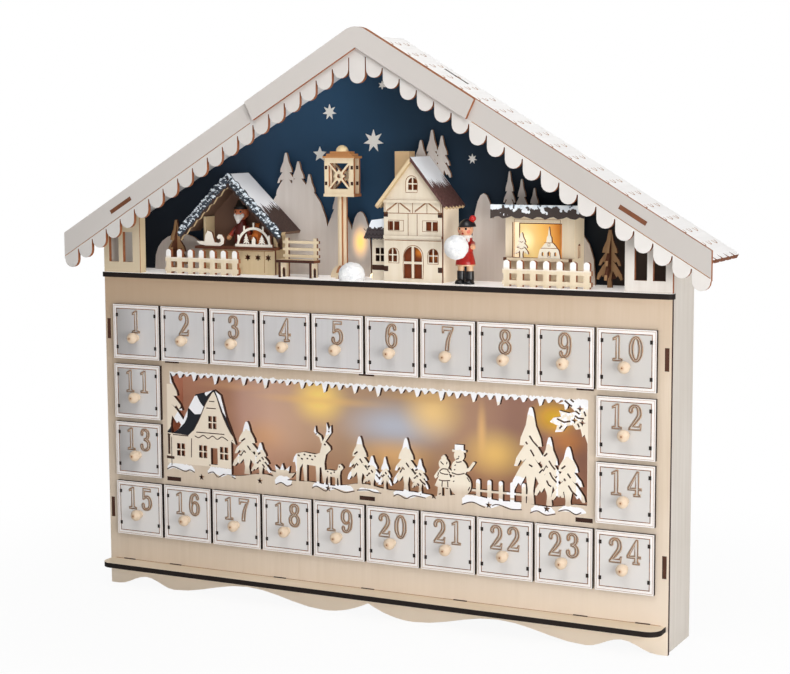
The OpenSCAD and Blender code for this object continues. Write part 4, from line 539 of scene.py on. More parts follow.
# Engraving on the front panel. Fine burnt lines 0.7 mm wide under the snow drifts, on the chalet,
# the deer, the snowman and the child, and short strokes between the branches of the firs.
panel_face, margin = -21, 0.6
engraved = scorch("engraved_line", "#2c1a12", "#5a3b29")
drawn_lines = [
    [(-166, 90.5), (-161, 92.8), (-155, 91.4), (-150, 90.2), (-146, 91.5), (-142, 90)],
    [(-130.5, 90.3), (-126, 91.6), (-122, 88.3), (-117, 90.6), (-112, 90.2), (-107, 88.2)],
    [(-73.5, 87), (-69, 88.8), (-64, 86.8), (-60, 88.4)],
    [(-44, 87), (-40, 88.7), (-33, 86), (-27, 88.6), (-18, 86.3), (-10, 88)],
    [(-8, 88.8), (0, 89.6), (5, 88.6), (11, 88.3)],
    [(20.5, 87), (24, 88.6), (30, 86.4), (36, 88.8), (45, 88)],
    [(41, 90.2), (46, 91), (52, 90.4), (57, 92.6)],
    [(72, 86), (80, 88.4), (90, 85.6), (98, 88.4), (108, 86.2), (116, 86.6)],
    [(122, 85), (127, 86.8), (133, 84.6), (140, 86)],
    [(142, 88), (148, 89.4), (154, 87), (158, 88.6)],
    [(-128.6, 143.4), (-124, 143.4)], [(-131, 138.3), (-123, 138.3)], [(-140, 120), (-116, 120)],
    [(-141.5, 117.2), (-138, 116), (-134, 118), (-130, 116), (-126, 118), (-122, 116), (-118, 118),
     (-113, 115.6)], [(-144.6, 101), (-144.2, 115)], [(-129.5, 96.5), (-122, 96.9)],
    [(-109.6, 101), (-109.4, 116.4)], [(-165, 116.8), (-147, 116.6)],
    [(-142.6, 121), (-137.2, 130), (-131.8, 141.2), (-126, 150)],
    [(-121.6, 145.5), (-118.2, 136), (-114, 127), (-109, 118.8)],
    [(66.2, 115.6), (69, 114.8), (73.6, 116)], [(64.6, 107.4), (69, 106.4), (74.2, 107.6)],
    [(66.4, 117.4), (68, 116.8), (70, 117.6)], [(63.6, 112), (61.5, 109), (63.4, 107)],
    [(55.6, 107.6), (58, 109.4), (62.4, 109), (65.6, 107), (61, 105.8), (56.6, 106.4),
     (55.6, 107.6)],
    [(52.6, 102), (58, 101.2), (63.4, 101.8)], [(54, 112), (54.6, 106), (53, 102)],
    [(57.2, 117.4), (56.4, 114.4), (58.6, 112.4)], [(59.4, 119), (61.4, 116.4), (60.8, 112.8)],
    [(57.6, 101), (57.2, 96.4)], [(61.6, 101), (61.8, 97)], [(56.4, 96.4), (62.6, 96)],
    [(76, 105), (78.6, 100.4), (76.8, 96.2)], [(52, 121), (54.8, 120.6), (56, 117.6)]]


# The stretches of a line, smoothed unless it has corners, that lie on the panel's face with a
# little wood on every side.
def on_wood(line, corner):
    kept, stretch = [], []
    padded = [line[0]] + line + [line[-1]]
    for before, start, end, after in zip(padded, line, line[1:], padded[3:]):
        pieces = max(1, round(math.dist(start, end) / (6 if corner else 0.9)))
        for piece in range(pieces + (end is line[-1])):
            t = piece / pieces
            x, z = [b + (c - b) * t if corner else b + 0.5 * t * (
                c - a + t * (2 * a - 5 * b + 4 * c - d + t * (3 * b - a - 3 * c + d)))
                for a, b, c, d in zip(before, start, end, after)]
            hits = [made["front_panel"].ray_cast(
                Vector(((x + a) / 1000, -0.03, (z + b) / 1000)), Vector((0, 1, 0)))
                for a, b in ((-margin, 0), (margin, 0), (0, -margin), (0, margin))]
            if all(hit[0] and abs(hit[1].y - panel_face / 1000) < 0.0002 for hit in hits):
                stretch.append((x, z, 1) if corner else (x, z))
            else:
                kept.append(stretch)
                stretch = []
    return [(run, False) for run in kept + [stretch] if len(run) > 1]


bpy.context.view_layer.update()
draw_lines("panel_lines", sum([on_wood(line, False) for line in drawn_lines], []), panel_face,
           0.75, engraved)
strokes = [
    [(-164.2, 102), (-164.2, 117.4)], [(-163.4, 102), (-163.4, 117)],
    [(-166, 100.2), (-159.4, 100)], [(-166, 99.3), (-159.4, 99.1)], [(64.6, 122.4), (73.6, 122.2)],
    [(66.6, 118.8), (67.3, 118.6)], [(69.6, 118.8), (70.3, 118.6)], [(67, 112.9), (67.4, 112.3)],
    [(66.6, 109.8), (67, 109.2)], [(65.9, 105.3), (66.3, 104.7)], [(65.9, 101.8), (66.3, 101.2)],
    [(-55.2, 109.9), (-53.6, 109.4)], [(-50.4, 110.9), (-49, 110.4)], [(-46, 110.3), (-44.4, 110)],
    [(-41.8, 110.4), (-40.6, 109.8)], [(-52.6, 107.6), (-51, 107.2)],
    [(-48, 108.2), (-46.8, 107.7)], [(-44.2, 107.8), (-42.8, 107.4)],
    [(-34, 119.2), (-32.4, 118.8)], [(-40.4, 126.4), (-39.8, 125.8)],
    [(-30.2, 128.8), (-29.8, 128)],
    [(-31.6, 100.2), (-30.6, 99.8)], [(-29, 99.2), (-28, 98.8)], [(-26.4, 100.2), (-25.4, 99.8)],
    [(-22.2, 104.2), (-21.4, 104)], [(60, 117.8), (60.2, 115)],
    [(146, 162), (148.2, 160.2), (151, 158.4)], [(150, 163), (152.2, 161.4)],
    [(156, 158.4), (159.4, 155.6), (160.6, 152.6)], [(153, 152.4), (155.4, 151), (159.4, 150.8)],
    [(140.6, 149.6), (145.6, 147.6), (150, 148.6), (152.6, 151)], [(147, 144.4), (149, 141.8)],
    [(152, 143.6), (154.4, 145.4)], [(155, 147.4), (156.2, 145)], [(158, 142.2), (161, 140)],
    [(155.6, 138.8), (152.8, 137)], [(138, 146.2), (139.4, 148)], [(142.4, 143.2), (144, 145.2)],
    [(157, 147.6), (160, 145.4)], [(153.4, 155.6), (156.4, 153.6)]]
for trunk, foot, top, painted, half in window_firs:
    for branch in (((-0.74, 0.27), (-0.5, 0.34), (-0.4, 0.32), (-0.2, 0.42), (-0.1, 0.38)),
                   ((0.02, 0.52), (0.22, 0.44), (0.5, 0.36)),
                   ((-0.16, 0.14), (0, 0.06), (0.2, 0.03)),
                   ((0.08, 0.3), (0.3, 0.2), (0.62, 0.12)), ((-0.36, 0.6), (-0.12, 0.66))):
        strokes.append([(trunk + half * out, foot + (top - foot) * up) for out, up in branch])
draw_lines("panel_strokes", sum([on_wood(line, True) for line in strokes], []), panel_face,
           1.15, engraved)
ledge_marks = [stroke((x - 5, 19.35), (x + 5, 19.35)) for x in (-201, -160, -71, 0, 71, 158, 201)]
draw_lines("ledge_marks", ledge_marks, -21.2, 1.1, engraved, flat=1)
draw_lines("ledge_line", [stroke((-213, 19.3), (213, 19.3))], -21.1, 0.4, fine_line, flat=1)

# Roof and gable. Whitewashed boards of 3 mm with lobed eaves and rows of small engraved shingle
# marks, two scalloped fascias that meet under the ridge, a chevron over them, and two gable panes,
# the left one of bare birch.


# The X, Y or Z of the direction in which a surface looks.
def direction(material, axis):
    turned = put(material.node_tree, "SeparateXYZ", None, {
        0: part(material, "TEX_COORD").outputs["Normal"]})
    return Field(turned.outputs[axis])


# A mask of the faces that look along one axis.
def facing(material, axis):
    return abs(direction(material, axis)) > 0.9


slope, peak, fascia_top, fascia_fall = math.atan(0.5921), 0.4012, 393.3, 0.6
mark_rows, marks_in_row = 18, 5
roof_wood = plywood("roof_board", "#faf8f6", "#eeebe8", "#5a3522",
                    (math.sin(slope), 0, math.cos(slope)), (1, 0.05, 1))
dress(roof_wood, "roof_left", "roof_right")
gable_wood = plywood("gable_plywood", "#d9d5d1", "#cbc5c0", "#7a4a2e", grain=(0.05, 1, 0.05))
(x, y, z), brush = painter(gable_wood)
# Painted shade: the strip above the fascias' seam and the chevron's front are painted greyer, and
# darker still towards the right.
painted_shade_strip = (z + abs(x) * fascia_fall > fascia_top) | (y < -32)
brush(painted_shade_strip, "#cfc9c4")
brush(painted_shade_strip * x.fade(-120, 160), "#bab4af")
dress(gable_wood, "fascia_left", "fascia_right", "gable_chevron")
pane_wood = plywood("pane_plywood", "#dcd6cf", "#cbc2b8", "#7a4a2e")
(x, y, z), brush = painter(pane_wood)
brush(x < 0, "#cfbfa4")
brush((abs(x) < 186.6) * facing(pane_wood, 0) * (y > -20.2), "#d3bf9b", True)
dress(pane_wood, "gable_panes")
for side, fascia in ((-1, "fascia_left"), (1, "fascia_right")):
    seam = stroke(*[(side * out, fascia_top - fascia_fall * out) for out in (84, 245.4)])
    draw_lines(fascia + "_line", [seam], -31.6, 0.55, fine_line)
    up = Vector((side * math.sin(slope), 0, math.cos(slope)))
    fall = Vector((side * math.cos(slope), 0, -math.sin(slope)))
    turn = Matrix(((0, up.x, fall.x, 0), (side, 0, 0, 0), (0, up.z, fall.z, peak), (0, 0, 0, 1)))
    marks = []
    for row in range(mark_rows):
        for mark in range(marks_in_row):
            across = side * (mark * 12.5 - 22)
            down_slope = 9 + 15.2 * row
            marks.append(([(across + a, down_slope + d) for a, d in (
                (-2.9, -1.8), (-1.8, 0.9), (0, 1.7), (1.8, 0.9), (2.9, -1.8))], False))
    draw_lines("roof_%s_marks" % fascia[7:], marks, 0.0, 0.8, fine_line, turn=turn)

# Backdrop of the stage. A night sky that is brightest left of the middle, with glued stars of
# bare wood, and a row of snowy hills with firs, lit from behind where a lamp stands.


def ramp(value, low, high, stops):
    band = value.node("ValToRGB", None, {"Fac": value.fade(low, high)})
    marks = band.color_ramp.elements
    while len(marks) < len(stops):
        marks.new(0.5)
    for mark, (where, code) in zip(marks, stops):
        mark.position, mark.color = where, linear(code)
    return band.outputs["Color"]


# A soft round mask in X and Z, one in its middle.
def halo(x, z, middle, radii):
    offset = x.node("CombineXYZ", None, {0: (x - middle[0]) / radii[0],
                                         1: (z - middle[1]) / radii[1]})
    reach = x.node("VectorMath", {"operation": "LENGTH"}, {0: offset.outputs[0]})
    return Field(x.node("MapRange", {"interpolation_type": "SMOOTHSTEP"},
                        {0: reach.outputs["Value"], 3: 1, 4: 0}).outputs[0])


def shine(material, strength, mask=1.0):
    tree, pins = material.node_tree, part(material, "BSDF_PRINCIPLED").inputs
    tree.links.new(pins["Base Color"].links[0].from_socket, pins["Emission Color"])
    light = put(tree, "Math", {"operation": "MULTIPLY"}, {0: mask, 1: strength})
    tree.links.new(light.outputs[0], pins["Emission Strength"])


sky_wood = plywood("sky_paint", "#1a3552", "#132a42", "#b9a58c", contrast=0.3)
(x, y, z), brush = painter(sky_wood)
brush(1.0, ramp(x + z * 0.15, -165, 260, (
    (0, "#0f1824"), (0.16, "#152536"), (0.3, "#213f5a"), (0.42, "#264866"), (0.52, "#1c384f"),
    (0.66, "#132535"), (0.85, "#0b131c"), (1, "#080c12"))))
brush(x.fade(158, 176, 0.8), "#4a3a30")
brush(y < 19.95, "#efece6", True)
dress(sky_wood, "sky_panel")
hill_wood = plywood("hill_plywood", "#d8cfc8", "#c9beb5", "#7a5a42")
(x, y, z), brush = painter(hill_wood)
lit = halo(x, z, (-23, 259), (9, 16))
brush(lit * 0.9, "#ffc65a")
shine(hill_wood, 0.9, lit)
dress(hill_wood, "hill_panel")

# Light on the stage's white top, which takes some of the glow of the hidden lamps: a quarter of
# its paint's colour, on the top face only and not on the burnt edge.
shine(snow_wood, 0.27, snow_wood.node_tree.nodes["flat"].outputs[0])

# Fences, bench, firs and lantern of bare thin plywood, glued to the stage. The pickets' heads are
# white, and the lantern's stepped roof is toasted.
fence_wood = plywood("fence_plywood", "#e4d6be", "#d3bf9e", "#7a4a2e")
(x, y, z), brush = painter(fence_wood)
brush(z.fade(245.2, 247.8), "#f6f3f0")
dress(fence_wood, "picket_fences")
bench_wood = plywood("bench_plywood", "#e2d2b6", "#d0bb98", "#5a3420")
(x, y, z), brush = painter(bench_wood)
before_seat = y < -5.1
brush((z < 245.05) * before_seat * facing(bench_wood, 0), "#e6d8bf", True)
brush(before_seat * facing(bench_wood, 1), "#43241a", True)
brush(within(z, 247, 247.3) * facing(bench_wood, 2), "#dcc7a6", True)
dress(bench_wood, "park_bench")
dress(plywood("brown_firs", "#b08a63", "#97714e", "#4a2a1a"), "crossed_firs")
lantern_wood = plywood("lantern_plywood", "#ead9bc", "#dcc59f", "#8a5a38")
(x, y, z), brush = painter(lantern_wood)
brush(within(z, 318.4, 322.9), "#bd8553", True)
brush(z > 322.9, "#e8cfa2", True)
tabs = within(abs(x + 29.5), 9.2, 11.2) * (within(z, 299.5, 302) | within(z, 310.5, 313))
brush(tabs, "#3a1a10")
dress(lantern_wood, "lantern_post")

# Left stall. Walls of bare plywood, a counter with three cut stars, a white sleigh and a white
# candle arch on it. The roof is dark with snow on its upper half, and its front board is painted
# as a snowy garland.


# A dark roof board with snow near its ridge, whose edge is combed down the slope.
def snowy_roof(name, middle, halfway, spike, dark, darker):
    material = plywood(name, dark, darker, "#2a1812", grain=(1, 0.3, 1), contrast=0.9)
    (x, y, z), brush = painter(material)
    brush(1.0, ramp(mottle((x, y), 0.8, 3), 0.3, 0.7, ((0, darker), (1, dark))), True)
    limit = halfway + (mottle((x * 0.03, y * 0.45), 1.3, 3, 0.7) - 0.5) * spike
    upward = direction(material, 2)
    brush((abs(x - middle) < limit) * (upward > 0.3), "#eff1f5", True)
    brush(upward < -0.3, "#cdb48d", True)
    return material, x, y, z, upward, brush


stall_middle, stall_peak, stall_fall, counter_top = -114.3, 307.6, 0.95, 254.7
stall_wood = plywood("stall_plywood", "#e0cda9", "#cdb68f", "#5a3420")
(x, y, z), brush = painter(stall_wood)
brush(within(y, -4.9, -2.4) * (z > counter_top), "#f6f0e4")
brush(within(z, 252.5, counter_top) * (y < -3), "#5e3524")
brush(y > 4, "#75594a")
brush(facing(stall_wood, 0) * (y > 1.1), "#d3bc94", True)
dress(stall_wood, "stall_walls")
draw_lines("stall_counter_line", [stroke((-92.5, 236), (-92.5, 251.6)),
                                  stroke((-143.8, 251.6), (-84.8, 251.6))], -1, 0.45, fine_line)
stall_top, x, y, z, upward, brush = snowy_roof("stall_roof_paint", stall_middle, 25, 26,
                                               "#4f3b35", "#33241f")
lumps = x.node("TexVoronoi", {"feature": "F1"}, {
    "Vector": x.node("CombineXYZ", None, {0: x, 1: z}).outputs[0], "Scale": 0.3,
    "Randomness": 0.9})
lumps = Field(lumps.outputs["Distance"])
drop = stall_peak - z - abs(x - stall_middle) * stall_fall
brush((upward < -0.3) * (y > -6.5), "#6b5242", True)
brush((drop + lumps * 5.5 < 7.6) * (y < -11.9), ramp(lumps, 0.05, 0.6, (
    (0, "#c3ced8"), (0.3, "#77848f"), (0.6, "#3b434c"), (1, "#2a2f36"))), True)
dress(stall_top, "stall_roof")

# Cottage. Light plywood with engraved timbering and dark corner joints, amber panes lit from
# inside, snow on the upper half of the roof, a natural chimney and a scalloped lean-to roof.
cottage_middle, lean_to_edge, cottage_face = 31.5, 9.6, -12
cottage_wood = plywood("cottage_plywood", "#e2d6c3", "#d5c6ac", "#5a3420")
(x, y, z), brush = painter(cottage_wood)
joints = (abs(x - cottage_middle) > 18.8) * (within(z, 278.8, 282.2) | within(z, 241.6, 245.2))
brush(joints, "#3a2015")
aside = facing(cottage_wood, 0) * ((y > -9.9) * (x > 10))
brush(aside, "#e3d5bf", True)
brush((x < lean_to_edge) * (y > -5.5), "#4a3324", True)
# Painted light: the cottage's side faces get a faint glow in the colour of their paint, so that
# they look lit.
shine(cottage_wood, 0.28, aside)
dress(cottage_wood, "cottage_walls")
timber = [stroke((10, z), (53, z)) for z in (289.8, 281.4, 265.6, 263)]
timber += [stroke((x, 281.4), (x, 289.8)) for x in (10.4, 20.8, 31.4, 42.2, 52.6)]
for x, lean in ((11.4, 8), (29.8, -8), (33, 8), (51.6, -8)):
    timber.append(stroke((x, 283), (x + lean, 288.6)))
    timber.append(stroke((x, 282.2), (x + lean * 1.15, 288.9)))
timber += [stroke((x, 265.6), (x, 281.4)) for x in (28, 34.8)]
timber += [box_run(x, 269.3, 11.3, 7.3) for x in (13.2, 38.8)]
for x, z, w, h in ((31.8, 237.2, 7.4, 22.4), (17, 247.4, 3.9, 10.2), (46.7, 247.4, 3.9, 10.2),
                   (30.6, 295.6, 4.3, 11.2)):
    arch = [(x - w * math.cos(math.pi * i / 6), z + h - w + w * math.sin(math.pi * i / 6))
            for i in range(7)]
    timber.append(([(x - w, z, 1)] + arch + [(x + w, z, 1)], True))
timber_line = scorch("timber_line", "#7c4a28", "#a6764a")
draw_lines("cottage_timbering", timber, cottage_face, 0.5, timber_line)
ember = plywood("amber_film", "#733618", "#4a2012", "#733618", grain=(1, 1, 1), fine=90, gloss=0.4)
(x, y, z), brush = painter(ember)
for middle, radii in (((28, 275), (4, 4)), ((36, 255), (6, 5)), ((46, 252), (3, 4))):
    brush(halo(x, z, middle, radii), "#d77f2a")
shine(ember, 0.25)
form = bmesh.new()
for x, z, w, h in ((31.5, 259, 38, 46), (30.6, 301, 9.5, 12.5)):
    block(form, (x, -9.4, z), (w, 0.4, h))
finish("cottage_panes", form, ember)
cottage_top, x, y, z, upward, brush = snowy_roof("cottage_roof_paint", cottage_middle, 14.5, 24,
                                                 "#6b4a45", "#472e2b")
brush((x < 31) * facing(cottage_top, 1) * (y < -15), "#dcc59f", True)
brush(z > 319.9 - abs(x - cottage_middle) * 1.22, "#d8b68a", True)
lean = (x < lean_to_edge) * (z < 278.5)
brush(lean, "#40383a", True)
brush(lean * (z + mottle((x, y, z), 0.5, 3) * 6 > 274.2), "#e3e8ee", True)
dress(cottage_top, "cottage_roof")
scales = []
for row, z in enumerate((270.6, 267.2, 264.6)):
    for i in range(6):
        x = -7 + 2.9 * i + 1.2 * (row % 2)
        if x + 2.9 < lean_to_edge:
            scales.append(([(x, z), (x + 0.5, z - 1.1), (x + 1.45, z - 1.5), (x + 2.4, z - 1.1),
                            (x + 2.9, z)], False))
draw_lines("lean_to_scales", scales, -10, 0.4, dark_line)

# Right stall: a lit picture behind a bare frame, a white fir and a church on its counter, and a
# dark waved valance with snow along its top.
shop_middle, shop_top = 120.5, 281
shop_wood = plywood("shop_plywood", "#ecdcc2", "#dcc7a4", "#5a3420")
(x, y, z), brush = painter(shop_wood)
brush((y < -6.7) * (z > 270) | (z > shop_top), "#463c39", True)
flakes = mottle((x, y, z), 0.26, 2)
frost = z + (flakes - 0.5) * 20 > 285.4
brush(frost * (z > shop_top), ramp(flakes, 0.35, 0.7, (
    (0, "#9fb2c4"), (0.4, "#e6edf3"), (1, "#f4f7fa"))), True)
brush(within(y, -6.2, -3.8) * within(z, 253.3, 278), "#f0e6d2")
wide = abs(x - shop_middle) > 22
aside = facing(shop_wood, 0) * wide * ((y > -6.8) * (z < shop_top))
brush(aside, "#e3d1b3", True)
# Painted light: the side faces of the stall's walls get a faint glow in the colour of their paint,
# so that they look lit.
shine(shop_wood, 0.3, aside)
brush(facing(shop_wood, 1) * wide * ((y < -6.9) * (z < 279)), "#5a3622", True)
dress(shop_wood, "shop_stall")
draw_lines("shop_frame_line", [box_run(102.4, 251.4, 32.6, 27.2)], -3, 0.5, fine_line)
church = [(stroke((x - w, z), (x - w, z + h), (x, z + h + w), (x + w, z + h), (x + w, z))[0], True)
          for x, z, w, h in ((128.3, 254.2, 1.1, 2.6), (128.3, 261.4, 0.7, 1.6))]
church += [stroke((122.4, 259.9), (134.2, 259.9)), stroke((125, 263.6), (131.6, 263.6)),
           stroke((106.4, 260), (108.6, 259), (110.6, 259.8)),
           stroke((107.4, 264), (108.8, 263.4), (110, 264))]
draw_lines("shop_toys_lines", church, -6, 0.45, fine_line)
sunset = plywood("sunset_film", "#dcb070", "#d3a562", "#d9a455", grain=(1, 1, 1), fine=90,
                 gloss=0.4, contrast=0.1)
(x, y, z), brush = painter(sunset)
brush(1.0, ramp(x + z * 0.3, 176, 222, (
    (0, "#b8a578"), (0.3, "#d8c184"), (0.55, "#dfae5c"), (0.8, "#c0782c"), (1, "#9c5524"))))
brush(halo(x, z, (108, 264), (8, 10)), "#efe4b4")
brush((x < 103.6) | (z > 275.4), "#ecdcc0")
brush(within(x, 103.1, 103.9) * (z < 275.8) | within(z, 275.2, 275.9) * (x > 103.4), "#4a2a1a")
shine(sunset, 0.64)
form = bmesh.new()
block(form, (119.5, 3.5, 264.5), (43, 0.4, 33))
finish("shop_picture", form, sunset)

# Turned and lacquered figures. The child, 44 mm tall, wears a red coat, black boots, a black cap
# with a red bobble and a white scarf. The stall keeper, 53 mm tall, has a dark red robe, a black
# hat and a white beard, and an orange sack stands beside on the counter.


def lacquer(name, colour, shade, gloss):
    material, tree, place = blank(name)
    brushed = speckle(place.outputs["Object"], 380, 3)
    surface(tree, {"Base Color": blend(tree, brushed.fade(0.35, 0.7), colour, shade),
                   "Roughness": gloss, "Normal": relief(tree, brushed, 0.15, 0.0003)})
    return material


# Paints everything within a reach in millimetres of one of the given points.
def dab(brush, spot, colour, reach, *points):
    for point in points:
        where = spot[0].node("CombineXYZ", None, dict(enumerate(spot)))
        away = spot[0].node("VectorMath", {"operation": "DISTANCE"}, {0: where.outputs[0],
                                                                     1: point})
        brush(Field(away.outputs["Value"]) < reach, colour, True)


child_x, keeper_x = 69, -115.8
coat_paint = lacquer("child_paint", "#b5201c", "#98150f", 0.28)
spot, brush = painter(coat_paint)
x, y, z = spot
brush(z < 247.8, "#d9b48c", True)
brush(z < 243.4, "#131316", True)
dab(brush, spot, "#e6ab88", 5.7, (child_x, -8, 271.1))
dab(brush, spot, "#dba27c", 2.7, (59.2, -17.5, 260.1), (78.8, -17.5, 260.1))
fringe = z + mottle(spot, 1.1, 1) * 2.4 > 274.1
brush(fringe | (y > -7) * (z > 267.6) | (z > 272.9), "#19181c", True)
dab(brush, spot, "#bf211d", 2.7, (74.3, -8, 278.6))
dab(brush, spot, "#17120f", 0.8, (66.7, -12.6, 271.8), (71.3, -12.6, 271.8))
dab(brush, spot, "#dd7a62", 1.35, (65.2, -11.3, 269.9), (72.8, -11.3, 269.9))
dab(brush, spot, "#a81c18", 0.8, (child_x, -12.7, 268.5))
dress(coat_paint, "child_figure")
robe_paint = lacquer("keeper_paint", "#6a211a", "#4f1712", 0.4)
spot, brush = painter(robe_paint)
x, y, z = spot
brush(abs(x - keeper_x) > 5.9, "#a33420", True)
brush(z < 240, "#1b1512", True)
dab(brush, spot, "#d79b6a", 2.8, (-125.4, 4.2, 260), (-106.2, 4.2, 260))
dab(brush, spot, "#d0794f", 5.7, (keeper_x, 6.9, 278.6))
brush(z > 281.1, "#15110f", True)
dab(brush, spot, "#17100d", 0.8, (-118.2, 2.3, 279.4), (-113.8, 2.2, 279.4))
dab(brush, spot, "#b6452c", 1.3, (-119.2, 3.5, 277.6), (-112.6, 3.4, 277.6))
dress(robe_paint, "stall_keeper")


# A closed body between round rings, pushed in and out in folds. Each ring has its height and its
# half widths in X and Y.
def rings(form, middle, levels, sides, folds, depth):
    hoops = []
    for height, wide, deep in levels:
        hoop = []
        for step in range(sides):
            turn = 2 * math.pi * step / sides
            swell = 1 + depth * math.cos(folds * turn)
            hoop.append(form.verts.new(((middle[0] + wide * swell * math.cos(turn)) / 1000,
                                        (middle[1] + deep * swell * math.sin(turn)) / 1000,
                                        height / 1000)))
        hoops.append(hoop)
    for lower, upper in zip(hoops, hoops[1:]):
        for step in range(sides):
            after = (step + 1) % sides
            form.faces.new((lower[step], lower[after], upper[after], upper[step]))
    form.faces.new(hoops[0][::-1])
    form.faces.new(hoops[-1])


def lump(form, middle, radii, rough=0.06, detail=3, seed=0.0):
    for vert in bmesh.ops.create_icosphere(form, subdivisions=detail, radius=1)["verts"]:
        way = vert.co.copy()
        swell = 1 + rough * noise.noise(way * 2.1 + Vector((seed, 0, 0)))
        vert.co = Vector([(m + r * swell * w) / 1000 for m, r, w in zip(middle, radii, way)])


wool = lacquer("white_wool", "#f3f0ec", "#dcd6cf", 0.95)
form = bmesh.new()
for step in range(14):
    turn = 2 * math.pi * step / 14
    lump(form, (child_x + 3.5 * math.cos(turn), -8 + 3.5 * math.sin(turn), 266.4), (1.3, 1.3, 1.25),
         0.25, 2, step)
lump(form, (72.4, -11, 264.6), (1.1, 0.8, 2.4), 0.25, 2)
lump(form, (70.6, -12.2, 265.4), (1.2, 1, 1.2), 0.25, 2)
finish("child_scarf", form, wool, smooth=True)
form = bmesh.new()
for middle, radii in (
        ((keeper_x, 2.4, 275.2), (3.3, 1.7, 2.6)), ((-118.4, 3.2, 276.6), (1.5, 1.4, 1.8)),
        ((-113.2, 3.2, 276.6), (1.5, 1.4, 1.8)), ((keeper_x, 1.9, 272.8), (1.7, 1.1, 1.8))):
    lump(form, middle, radii, 0.3, 3, middle[0])
finish("keeper_beard", form, wool, smooth=True)
nose_paint = lacquer("nose_paint", "#d98a66", "#c9704e", 0.4)
form = bmesh.new()
lump(form, (child_x, -13.5, 270.4), (0.8, 0.8, 0.75), 0.05, 2)
lump(form, (keeper_x, 1.3, 278.3), (0.95, 0.9, 0.9), 0.05, 2)
finish("figure_noses", form, nose_paint, smooth=True)
sack_paint = lacquer("sack_paint", "#dd7a2c", "#bb5a1c", 0.7)
form = bmesh.new()
rings(form, (-100.2, 2), (
    (254.7, 2.6, 2.4), (255.6, 3.6, 3.1), (258.5, 4.2, 3.5), (262.5, 4, 3.4), (266, 3, 2.6),
    (268, 1.5, 1.4), (269.2, 1.5, 1.4), (270.8, 2.6, 2.2), (271.4, 2.3, 2)), 24, 6, 0.06)
finish("keeper_sack", form, sack_paint, smooth=True)

# Cotton wool: the snowball that the child holds, 17 mm across, and a heap of 19 mm on the stage.
# Both are round tufts with a fluffy surface and stand for the plain CAD balls.
cotton, tree, place = blank("cotton_wool")
fluff = speckle(place.outputs["Object"], 900, 5, 0.7, 0.6)
tufts = speckle(place.outputs["Object"], 230, 3)
surface(tree, {"Base Color": blend(tree, tufts.fade(0.35, 0.7), "#fbfbfa", "#e6e7ea"),
               "Normal": relief(tree, fluff + tufts, 0.7, 0.0012), "Roughness": 1,
               "Specular IOR Level": 0.1, "Sheen Weight": 0.5})
stage_top = 234.65
form = bmesh.new()
for middle, radius in (((child_x, -22.7, 260.1), 8.5), ((-14, -15, 238.0), 9.5)):
    for vert in bmesh.ops.create_icosphere(form, subdivisions=6, radius=1)["verts"]:
        way = vert.co.copy()
        swell = 0.955 + 0.05 * noise.noise(way * 1.7) + 0.035 * noise.noise(way * 5.5)
        swell += 0.028 * noise.noise(way * 14) + 0.016 * noise.noise(way * 33)
        vert.co = (Vector(middle) + way * radius * swell) / 1000
        vert.co.z = max(vert.co.z, stage_top / 1000)
snow = finish("cotton_snow", form, cotton, smooth=True)
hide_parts("snow_heaps")

# Garland along the front of the left stall's roof, glued to its front board: 100 small tufts of
# fir in two rows, lightly frosted on top.
tuft_paint = lacquer("garland_tufts", "#3b4550", "#262c34", 0.8)
frost = speckle(part(tuft_paint, "TEX_COORD").outputs["Object"], 330, 2)
brush = painter(tuft_paint)[1]
brush(direction(tuft_paint, 2) + frost * 2.2 > 1.25, "#dfe8f0", True)
chance = random.Random(4)
form = bmesh.new()
for side in (-1, 1):
    for row, drop in ((0, 1.6), (1, 5.2)):
        for step in range(25):
            away = side * (1 + 41.2 * (step + 0.4 * row + chance.uniform(-0.2, 0.2)) / 25)
            size = chance.uniform(1.3, 2.1)
            height = stall_peak - stall_fall * abs(away) - drop + chance.uniform(-0.7, 0.7)
            lump(form, (stall_middle + away, -14.2 - 0.3 * (1 - row), height), (size, 0.8, size),
                 0.45, 2, step + 40 * side)
finish("stall_garland", form, tuft_paint)

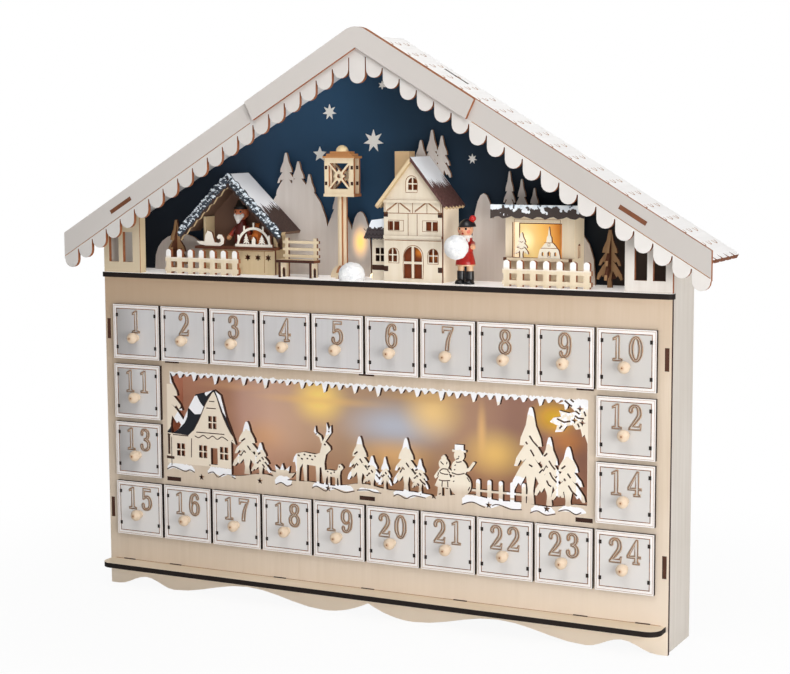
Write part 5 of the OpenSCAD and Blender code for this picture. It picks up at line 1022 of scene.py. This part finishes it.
# Picture sheet behind the window, 331 by 84.3 by 0.8 mm, set between the window jambs: a printed
# dusk sky, mauve and grey with soft yellow lights where the lamps shine through it.
film = plywood("picture_film", "#ae8b7d", "#9e7c66", "#ae8b7d", contrast=0.1, blotch=0.2)
(x, y, z), brush = painter(film)
brush(1.0, ramp(x, -162, 162, (
    (0.04, "#a67c66"), (0.11, "#a17a64"), (0.15, "#ac8a7b"), (0.22, "#b69582"), (0.3, "#b08f77"),
    (0.42, "#a2866e"), (0.54, "#9a7f66"), (0.73, "#9e7c66"), (0.8, "#937061"), (0.95, "#9f7866"))))
brush(halo(x, z, (9, 132), (54, 24)), "#a1a4ae")
low = x.node("MapRange", {"interpolation_type": "SMOOTHSTEP"}, {0: z, 1: 122, 2: 88, 4: 0.3})
brush(Field(low.outputs[0]), "#b07a55")
for middle, radii, code, most in (
        ((-97, 117), (28, 17), "#c79868", 0.5), ((10, 110), (42, 17), "#d4aa76", 0.85),
        ((-50, 147), (28, 24), "#eac86e", 0.9), ((-50, 146), (66, 5), "#cfa86c", 0.6),
        ((40, 144), (30, 25), "#dfbd7d", 0.8), ((36, 153), (44, 5), "#c09a68", 0.5),
        ((88, 118), (33, 23), "#e6bf6c", 0.74), ((130, 146), (22, 16), "#f2bf42", 1),
        ((77, 134), (5, 26), "#dcb274", 0.6), ((140, 131), (20, 14), "#cd8a4c", 0.7),
        ((-122, 152), (40, 5), "#c39a74", 0.5)):
    brush(halo(x, z, middle, radii) * most, code)
shine(film, 0.42)
dress(film, "picture_sheet")

# Inside and back. Nine small lamps of warm resin on a thin black lead, and a battery box of black
# plastic with its sliding cover and slide switch, which holds two cells in blue sleeves.
plastic = plywood("black_plastic", "#1b1b1d", "#151516", "#1b1b1d")
dress(plastic, "battery_box", "battery_cover", "power_switch", "lamp_lead")
dress(plywood("cell_sleeve", "#28425e", "#22384f", "#28425e"), "battery_cells")
lamp_resin = plywood("lamp_resin", "#f4e3bd", "#efd9a8", "#f4e3bd")
shine(lamp_resin, 1.0)
dress(lamp_resin, "lamps")

low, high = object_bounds()
